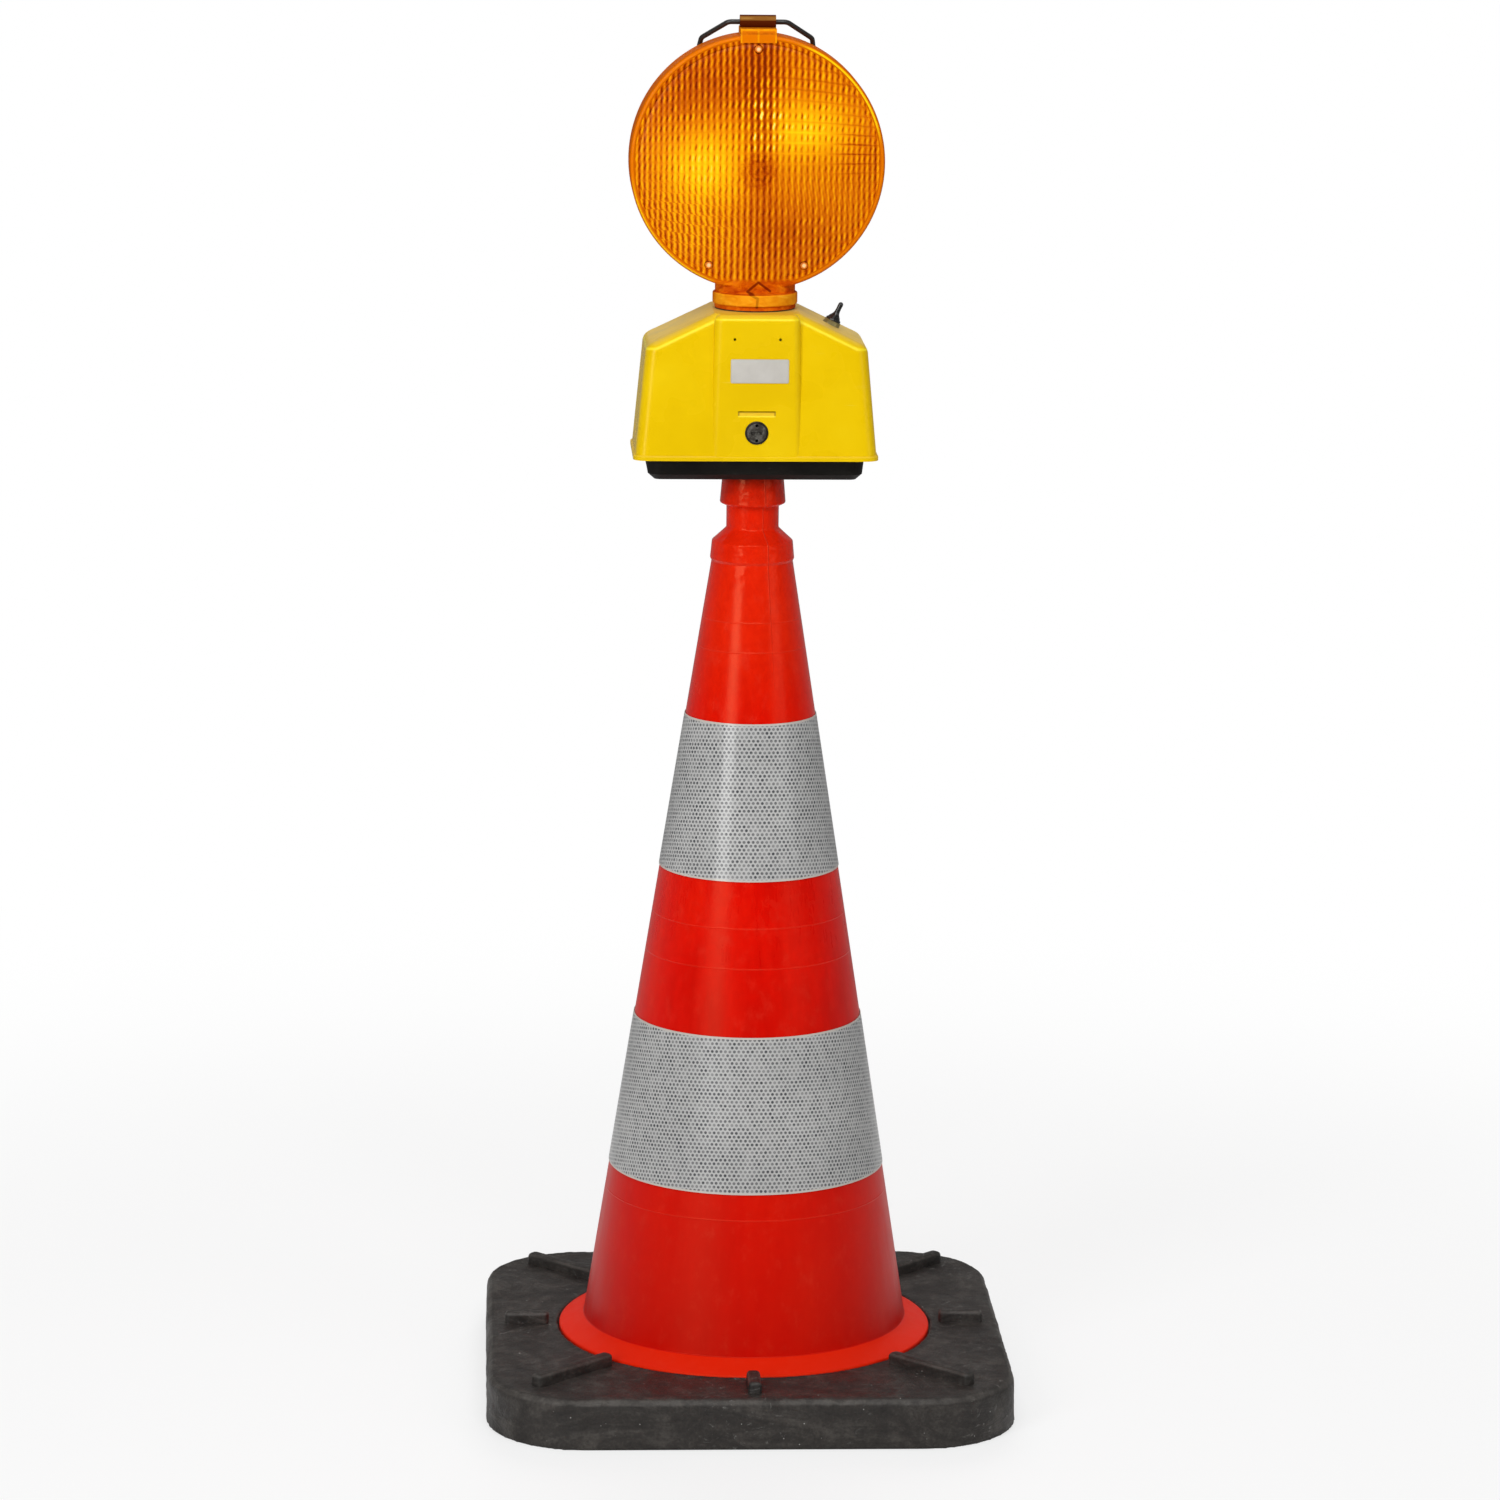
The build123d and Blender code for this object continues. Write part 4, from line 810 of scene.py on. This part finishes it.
def lensTab(x, z, tint):
    colour = tones(tint, lensLook["rimDull"], lensLook["rim"])
    # painted highlights along the tab's sides, middle and top edge
    sides = abs(abs(x) - (lensLook["tabHalf"] - 0.6))
    lines = lowest(sides, abs(x + 0.3), abs(z - (lensLook["tabTop"] - 0.6)))
    blotch = noise(300, 3, 0.6, shift=(1, 3, 0))
    pale = spread(lines, 0.2, 1.2, 0.75, 0.0) * spread(blotch, 0.3, 0.6, 0.35, 1.0)
    colour = mix(pale, colour, lensLook["bright"])
    band = abs(z - (lensLook["tabTop"] - 3.4))
    band = spread(band, 0.3, 1.6, 0.6, 0.0) * spread(blotch, 0.35, 0.65, 0.3, 1.0)
    colour = mix(band, colour, lensLook["groove"])
    low, high = lensLook["barrelStrip"]
    strip = spread(z, low - 0.4, low + 0.4) * fall(z, high - 0.3, high + 0.3)
    barrel = mix(strip, lensLook["barrelShade"], lensLook["barrelPlain"])
    shine = abs(z - (low + high) / 2)
    glints = spread(noise(260, 2, scale=(0.3, 1, 1)), 0.35, 0.65)
    shine = spread(shine, 0.2, 1.0, 0.8, 0.0) * glints
    barrel = mix(shine, barrel, lensLook["barrelStreak"])
    return mix(spread(z, lensLook["tabTop"], lensLook["tabTop"] + 0.5), colour, barrel)


def lensAmber():
    startMaterial("lensAmber", gloss=0.1, IOR=1.49, Specular_Tint=lensLook["gloss"])
    x, y, z = spotInMm(lensLook["centre"])
    x = x * (calc("SIGN", y) * -1)  # the rear lens is painted like the front one
    radius = distance(x, z)
    tint = noise(45, 3)
    rim = tones(tint, lensLook["rimDull"], lensLook["rim"])
    # painted highlights on the rim: a yellow arc at the upper right and a fainter one at the lower left
    leanX, leanZ = lensLook["lightLean"]
    corner = (x * leanX + z * leanZ) / radius
    streak = fall(abs(radius - lensLook["streakRadius"]), 0.3, 1.2)
    rim = mix(streak * spread(corner, 0.84, 0.95), rim, lensLook["yellow"])
    border = spread(radius, *lensLook["borderIn"]) * fall(radius, *lensLook["borderOut"])
    rim = mix(border * spread(corner, -0.95, -0.8, 0.7, 0.0), rim, lensLook["yellow"])
    # the side wall is painted darker: painted shade
    rim = mix(spread(radius, *lensLook["wallFrom"]), rim, lensLook["wall"])
    # a line of painted shade where the painted fluting meets the rim
    groove = abs(radius - lensLook["grooveRadius"])
    rim = mix(spread(groove, 0.2, 0.8, 0.6, 0.0), rim, lensLook["groove"])
    face = fall(radius, *lensLook["faceEdge"])
    colour = mix(face, rim, lensGlow(x, z))
    neck = fall(z, *lensLook["neckTop"]) * fall(abs(x), *lensLook["neckHalf"])
    colour = mix(neck, colour, lensNeck(x, z))
    tab = spread(z, *lensLook["tabLow"]) * fall(abs(x), lensLook["tabHalf"], lensLook["tabHalf"] + 0.3)
    colour = mix(tab, colour, lensTab(x, z, tint))
    rough = spread(radius, *lensLook["dullFrom"]) * 0.6 + vary(tint, 0.15, 0.22) + face * 0.08
    return finishMaterial(colour, rough, bump(noise(160, 2), 0.0002, 0.3))


def domeLevel(radius):
    ball = (lensLook["faceRadius"] ** 2 + lensLook["sag"] ** 2) / (2 * lensLook["sag"])
    return lensLook["faceLevel"] + lensLook["sag"] - ball + sqrt(ball ** 2 - radius ** 2)


def fluteHeight(x, z):
    row = 2 * pi * z * (1 + x * x / lensLook["rowDroop"]) / lensLook["rowPitch"]
    rib = -cos(2 * pi * (x + lensLook["squeeze"] * x ** 3) / lensLook["ribPitch"])
    return 0.5 + lensLook["ribShare"] * rib - lensLook["rowShare"] * cos(row)


def screwSpots():
    turns = [radians(turn) for turn in lensLook["screwTurns"]]
    return [(lensLook["screwCircle"] * cos(turn), lensLook["screwCircle"] * sin(turn)) for turn in turns]


def makeFluting(name, side, material):
    bm = bmesh.new()
    reach = lensLook["faceRadius"] - lensLook["edgeGap"]
    bmesh.ops.create_grid(bm, x_segments=lensLook["cells"], y_segments=lensLook["cells"], size=1)
    half = max(vert.co.x for vert in bm.verts)
    bmesh.ops.scale(bm, vec=(reach / half, reach / half, 1), verts=bm.verts)
    screws = screwSpots() if side < 0 else []
    clear = lensLook["screwClear"]
    spare = [face for face in bm.faces if all(vert.co.length > reach for vert in face.verts)
             or any((face.calc_center_median().xy - Vector(screw)).length < clear for screw in screws)]
    bmesh.ops.delete(bm, geom=spare, context="FACES")
    for vert in bm.verts:
        x, z, _ = vert.co * min(1, reach / max(vert.co.length, 1))
        inner = vert.is_boundary and hypot(x, z) < reach - 0.3
        for screwX, screwZ in screws if inner else ():  # a round edge at each screw
            away = hypot(x - screwX, z - screwZ)
            if away < 1.5 * clear:
                x = screwX + (x - screwX) * clear / away
                z = screwZ + (z - screwZ) * clear / away
        radius = hypot(x, z)
        fade = max(0.1, min(1, (reach - radius) / lensLook["edgeFade"]))
        level = domeLevel(radius) + (lensLook["lift"] + lensLook["relief"] * fluteHeight(x, z)) * fade
        vert.co = (x * mm, side * level * mm, lensLook["centre"][2] * mm + z * mm)
    thicken(bm, (0, -side * lensLook["skin"] * mm, 0))
    return makePiece(name, bm, material, "head", sharp=60)


neckRoof = {"pocket": 30.2, "throatSide": 17.0, "throatShift": 12.0, "top": 896.45, "thick": 1.6,
            "steps": 64}


def makeNeckRoof(material):
    bm = bmesh.new()
    rings = [bmesh.ops.create_circle(bm, segments=neckRoof["steps"], radius=neckRoof[size])["verts"]
             for size in ("pocket", "throatSide")]
    for side in (-1, 1):  # the throat is a round-ended slot
        ends = [vert for vert in rings[1] if (vert.co.x >= 0) == (side > 0)]
        bmesh.ops.translate(bm, vec=(side * neckRoof["throatShift"], 0, 0), verts=ends)
    bmesh.ops.bridge_loops(bm, edges=bm.edges[:])
    thicken(bm, (0, 0, -neckRoof["thick"]))
    bmesh.ops.translate(bm, vec=(0, 0, neckRoof["top"]), verts=bm.verts)
    bmesh.ops.scale(bm, vec=(mm, mm, mm), verts=bm.verts)
    return makePiece("neckRoof", bm, material, "head")


amber = lensAmber()
dress(amber, "lens_front", "lens_rear")
makeFluting("flutingFront", -1, amber)
makeFluting("flutingRear", 1, amber)
makeNeckRoof(amber)
print("lamp head dressed")


# wire and metal finishes
metalLook = {"wire": (0.014, 0.013, 0.012), "wireDull": (0.03, 0.028, 0.025),
             "bareWire": (0.20, 0.19, 0.18),
             "zinc": {"colour": (0.58, 0.57, 0.53), "dull": (0.40, 0.38, 0.32), "rough": (0.22, 0.42),
                      "grain": (1, 1, 6)},
             "brass": {"colour": (0.70, 0.50, 0.20), "dull": (0.45, 0.30, 0.11), "rough": (0.20, 0.40)},
             "mirror": {"colour": (0.86, 0.86, 0.85), "dull": (0.76, 0.75, 0.73), "rough": (0.06, 0.16)},
             "plated": {"colour": (0.36, 0.32, 0.16), "dull": (0.22, 0.19, 0.09), "rough": (0.34, 0.5),
                        "bare": 0.4}}


def bailBlack():
    startMaterial("bailBlack")
    chips = spread(noise(130, 6, 0.7), 0.64, 0.7)
    cloud = noise(300, 3)
    colour = ramp(cloud, (0.3, metalLook["wire"]), (0.75, metalLook["wireDull"]))
    colour = mix(chips * 0.6, colour, metalLook["bareWire"])
    feed(chips * 0.8, easel["shader"].inputs["Metallic"])
    return finishMaterial(colour, vary(cloud, 0.3, 0.45), bump(cloud, 0.0001, 0.5))


def metal(name, colour, dull, rough, grain=(1, 1, 1), bare=1.0):
    startMaterial(name, Metallic=bare)
    cloud = noise(120, 5, 0.6)
    lines = noise(300, 3, 0.6, scale=grain)
    tint = ramp(cloud, (0.35, dull), (0.62, colour))
    sheen = vary(lines * 0.5 + cloud * 0.5, *rough)
    return finishMaterial(tint, sheen, bump(lines, 6e-05, 0.5))


brass = metal("springBrass", **metalLook["brass"])
dress(bailBlack(), "bail")
dress(metal("zincPlated", **metalLook["zinc"]), "spigot_screws", "lock_keeper", "board_screws", "lock_nut",
      "lock_cam", "cam_screw", "switch_lever")
dress(metal("nutPlated", **metalLook["plated"]), "switch_nut", "switch_washer")
dress(brass, "contact_strips")
dress(metal("dishSilver", **metalLook["mirror"]), "reflector_front", "reflector_rear")
print("metal dressed")


# small mouldings, rubber and boards
smallLook = {"black": {"colour": (0.012, 0.012, 0.012), "pale": (0.045, 0.043, 0.04), "rough": (0.34, 0.55),
                       "grain": 800, "depth": 0.00015},
             "rubber": {"colour": (0.010, 0.010, 0.010), "pale": (0.03, 0.029, 0.028), "rough": (0.5, 0.75),
                        "grain": 600, "depth": 0.0002, "gloss": 0.3},
             "foam": {"colour": (0.035, 0.034, 0.033), "pale": (0.08, 0.078, 0.074), "rough": (0.8, 0.95),
                      "grain": 500, "depth": 0.0008, "gloss": 0.2},
             "lead": {"colour": (0.10, 0.006, 0.004), "pale": (0.20, 0.012, 0.008), "rough": (0.3, 0.45),
                      "grain": 700, "depth": 0.0001},
             "boot": {"colour": (0.010, 0.010, 0.010), "pale": (0.022, 0.021, 0.02), "rough": (0.16, 0.28),
                      "grain": 600, "depth": 0.0001, "gloss": 0.7},
             "screw": (0.98, 0.66, 0.30), "screwCore": (0.9, 2.1),
             "lockRim": (0.012, 0.009, 0.007), "lockLevel": 789.6, "lockFace": (7.2, 8.0),
             "lockPale": (0.15, 0.14, 0.12), "lockPins": 6.0, "pinHole": (1.1, 1.6),
             "pinDark": (0.01, 0.01, 0.01),
             "board": (0.012, 0.1, 0.035), "track": (0.03, 0.22, 0.07), "trackGrid": (420, 420, 420),
             "wrap": (0.02, 0.024, 0.034), "wrapPale": (0.032, 0.038, 0.052), "stripe": (0.42, 0.43, 0.44),
             "stripeLow": (820.0, 821.0), "stripeTop": (836.0, 837.0),
             "led": (0.9, 0.62, 0.22), "ledPale": (1.0, 0.8, 0.42)}


def speckled(name, colour, pale, rough, grain, depth, gloss=0.45):
    startMaterial(name, gloss=gloss)
    tint = ramp(noise(90, 5, 0.65), (0.38, colour), (0.75, pale))
    specks = noise(grain, 3)
    return finishMaterial(tint, vary(specks, *rough), bump(specks, depth, 0.6))


def screwAmber():
    startMaterial("screwAmber", gloss=0.4)
    x, _, z = spotInMm(lensLook["centre"])
    nearest = lowest(*[distance(x - screwX, z - screwZ) for screwX, screwZ in screwSpots()])
    # a painted highlight on each screw head
    core = fall(nearest, *smallLook["screwCore"])
    grain = noise(500, 3)
    plain = tones(grain, lensLook["amber"], lensLook["rim"])
    colour = mix(core, plain, smallLook["screw"])
    return finishMaterial(colour, vary(grain, 0.22, 0.38), bump(grain, 0.0001, 0.5))


def lockBlack():
    startMaterial("lockBlack", gloss=0.4)
    x, _, z = spotInMm((0, 0, smallLook["lockLevel"]))
    face = fall(distance(x, z), *smallLook["lockFace"])
    wearAndPaintedSheen = spread(noise(210, 5, 0.65, 0.8), 0.42, 0.66)
    colour = mix(face * (wearAndPaintedSheen * 0.6 + 0.2), smallLook["lockRim"], smallLook["lockPale"])
    # the pin holes are painted dark as shade in them
    for pin in (-smallLook["lockPins"], smallLook["lockPins"]):
        colour = mix(fall(distance(x, z - pin), *smallLook["pinHole"]), colour, smallLook["pinDark"])
    return finishMaterial(colour, spread(wearAndPaintedSheen, 0.0, 1.0, 0.3, 0.5), bump(wearAndPaintedSheen, 0.0002, 0.5))


def boardGreen():
    startMaterial("boardGreen")
    across = place(scale=smallLook["trackGrid"])
    x, y, _ = parts(across)
    steps = noise(0.37, 0, where=vectorCalc("FLOOR", across))
    run = calc("FRACT", y + spread(steps, 0.45, 0.55) * x)
    track = fall(abs(run - 0.5), 0.12, 0.2)
    colour = mix(track * 0.6, smallLook["board"], smallLook["track"])
    return finishMaterial(colour, vary(noise(80, 3), 0.25, 0.4), bump(track, 6e-05, 0.6))


def batteryWrap():
    startMaterial("batteryWrap", Coat_Weight=0.3, Coat_Roughness=0.1)
    z = spotInMm()[2]
    cloud = noise(40, 3)
    body = tones(cloud, smallLook["wrap"], smallLook["wrapPale"])
    stripe = spread(z, *smallLook["stripeLow"]) * fall(z, *smallLook["stripeTop"])
    colour = mix(stripe, body, smallLook["stripe"])
    creases = noise(18, 4, 0.6, 1.0, scale=(1, 1, 5))
    return finishMaterial(colour, vary(cloud, 0.22, 0.36), bump(creases, 0.0006, 0.5))


def ledClear():
    startMaterial("ledClear", IOR=1.5, Transmission_Weight=0.7)
    cloud = noise(200, 3)
    colour = tones(cloud, smallLook["led"], smallLook["ledPale"])
    return finishMaterial(colour, vary(cloud, 0.05, 0.12))


dress(screwAmber(), "lens_screws")
dress(lockBlack(), "lock_barrel")
dress(speckled("mouldedBlack", **smallLook["black"]), "board_plug", "switch_body", "neck_retainer",
      "neck_disc", "led_holders")
dress(speckled("gasketRubber", **smallLook["rubber"]), "tray_gasket", "neck_seal", "lens_gasket")
dress(speckled("padFoam", **smallLook["foam"]), "battery_pads")
dress(boardGreen(), "contact_board", "lamp_board")
dress(batteryWrap(), "battery_left", "battery_right")
dress(ledClear(), "leds")
print("small pieces dressed")


# switch boot: one rubber moulding from the nut to the lever's tip
bootShape = {"foot": (61.1, 0.0, 869.91), "normal": (0.43366, 0.0, 0.90107), "steps": 40,
             "outside": ((0.0, 19.5), (0.9, 19.3), (1.6, 18.7), (1.95, 17.8), (2.0, 16.5), (1.9, 13.5),
                         (2.1, 11.2), (2.5, 9.6), (3.3, 8.2), (4.4, 6.9), (5.0, 5.6), (5.5, 5.1),
                         (6.05, 4.6), (6.2, 4.1), (6.05, 3.45)),
             "inside": ((5.1, 3.45), (4.4, 5.2), (3.6, 6.6), (2.5, 7.8), (1.7, 9.4), (1.35, 11.2),
                        (1.3, 17.5), (0.0, 18.7)),
             "bendFrom": 4.6, "bendTo": 9.0}


def makeBoot(material):
    bm = bmesh.new()
    spinUpright(bm, outline(bm, bootShape["outside"] + bootShape["inside"]), bootShape["steps"])
    foot, normal = Vector(bootShape["foot"]) * mm, Vector(bootShape["normal"])
    stand = Matrix.Translation(foot) @ normal.to_track_quat("Z", "Y").to_matrix().to_4x4()
    bmesh.ops.transform(bm, matrix=stand, verts=bm.verts)
    boot = makePiece("switchBoot", bm, material, None, ["boot_skirt", "boot_sleeve"],
                     sharp=50)
    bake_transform(boot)


# battery springs and lamp wires
springShape = {"low": 853.6, "high": 861.4, "wide": 6.5, "narrow": 3.0, "turns": 3, "perTurn": 16,
               "wire": 0.6, "places": ((-34.0, 0.0), (-14.0, 20.0), (34.0, 0.0), (14.0, 20.0))}
leadShape = {"wire": 0.9,
             "front": ((3.6, 0, 872.4), (3.6, 0, 876.5), (9.5, 0, 881.5), (9.5, 0, 889.5),
                       (12.5, -6, 894.5), (10.5, -11.5, 898.5), (5.5, -12.5, 903.0), (1.7, -12.5, 906.5),
                       (-2.5, -12.5, 902.5), (-6.5, -11.5, 898.5), (-10.5, -6.5, 898.0),
                       (-11.0, -2.0, 906.0), (-10.0, 0, 920.0), (-9.5, 0, 950.0), (-9.5, 0, 974.5)),
             "rear": ((-3.6, 0, 872.4), (-3.6, 0, 876.5), (-9.5, 0, 881.5), (-9.5, 0, 889.5),
                      (-9.0, 6, 896.0), (-3.0, 9.5, 902.0), (5.0, 8.5, 907.0), (10.0, 4.0, 916.0),
                      (9.5, 0, 934.0), (9.5, 0, 974.5))}


def makeWire(name, routes, radius, material, body, replaced):
    curve = bpy.data.curves.new(name, "CURVE")
    curve.dimensions = "3D"
    curve.bevel_depth = radius * mm
    curve.bevel_resolution = 3
    curve.resolution_u = 5
    curve.use_fill_caps = True
    for route in routes:
        spline = curve.splines.new("NURBS")
        spline.points.add(len(route) - 1)
        for point, spot in zip(spline.points, route):
            point.co = (*(value * mm for value in spot), 1)
        spline.order_u = 3
        spline.use_endpoint_u = True
    curve.materials.append(material)
    attach(addObject(name, curve), body, replaced)


def springRoute(x, y):
    count = springShape["turns"] * springShape["perTurn"]
    route = []
    for step in range(count + 1):
        share = step / count
        turn = 2 * pi * step / springShape["perTurn"]
        radius = springShape["wide"] + (springShape["narrow"] - springShape["wide"]) * share
        level = springShape["low"] + (springShape["high"] - springShape["low"]) * share
        route.append((x + radius * cos(turn), y + radius * sin(turn), level))
    return route


makeBoot(speckled("bootRubber", **smallLook["boot"]))
makeWire("batterySprings", [springRoute(*spot) for spot in springShape["places"]], springShape["wire"],
         brass, "lamp_base", ["battery_terminals"])
makeWire("lampWires", [leadShape["front"], leadShape["rear"]], leadShape["wire"],
         speckled("leadRed", **smallLook["lead"]), "head", ["lamp_leads"])
print("boot, springs and wires made")
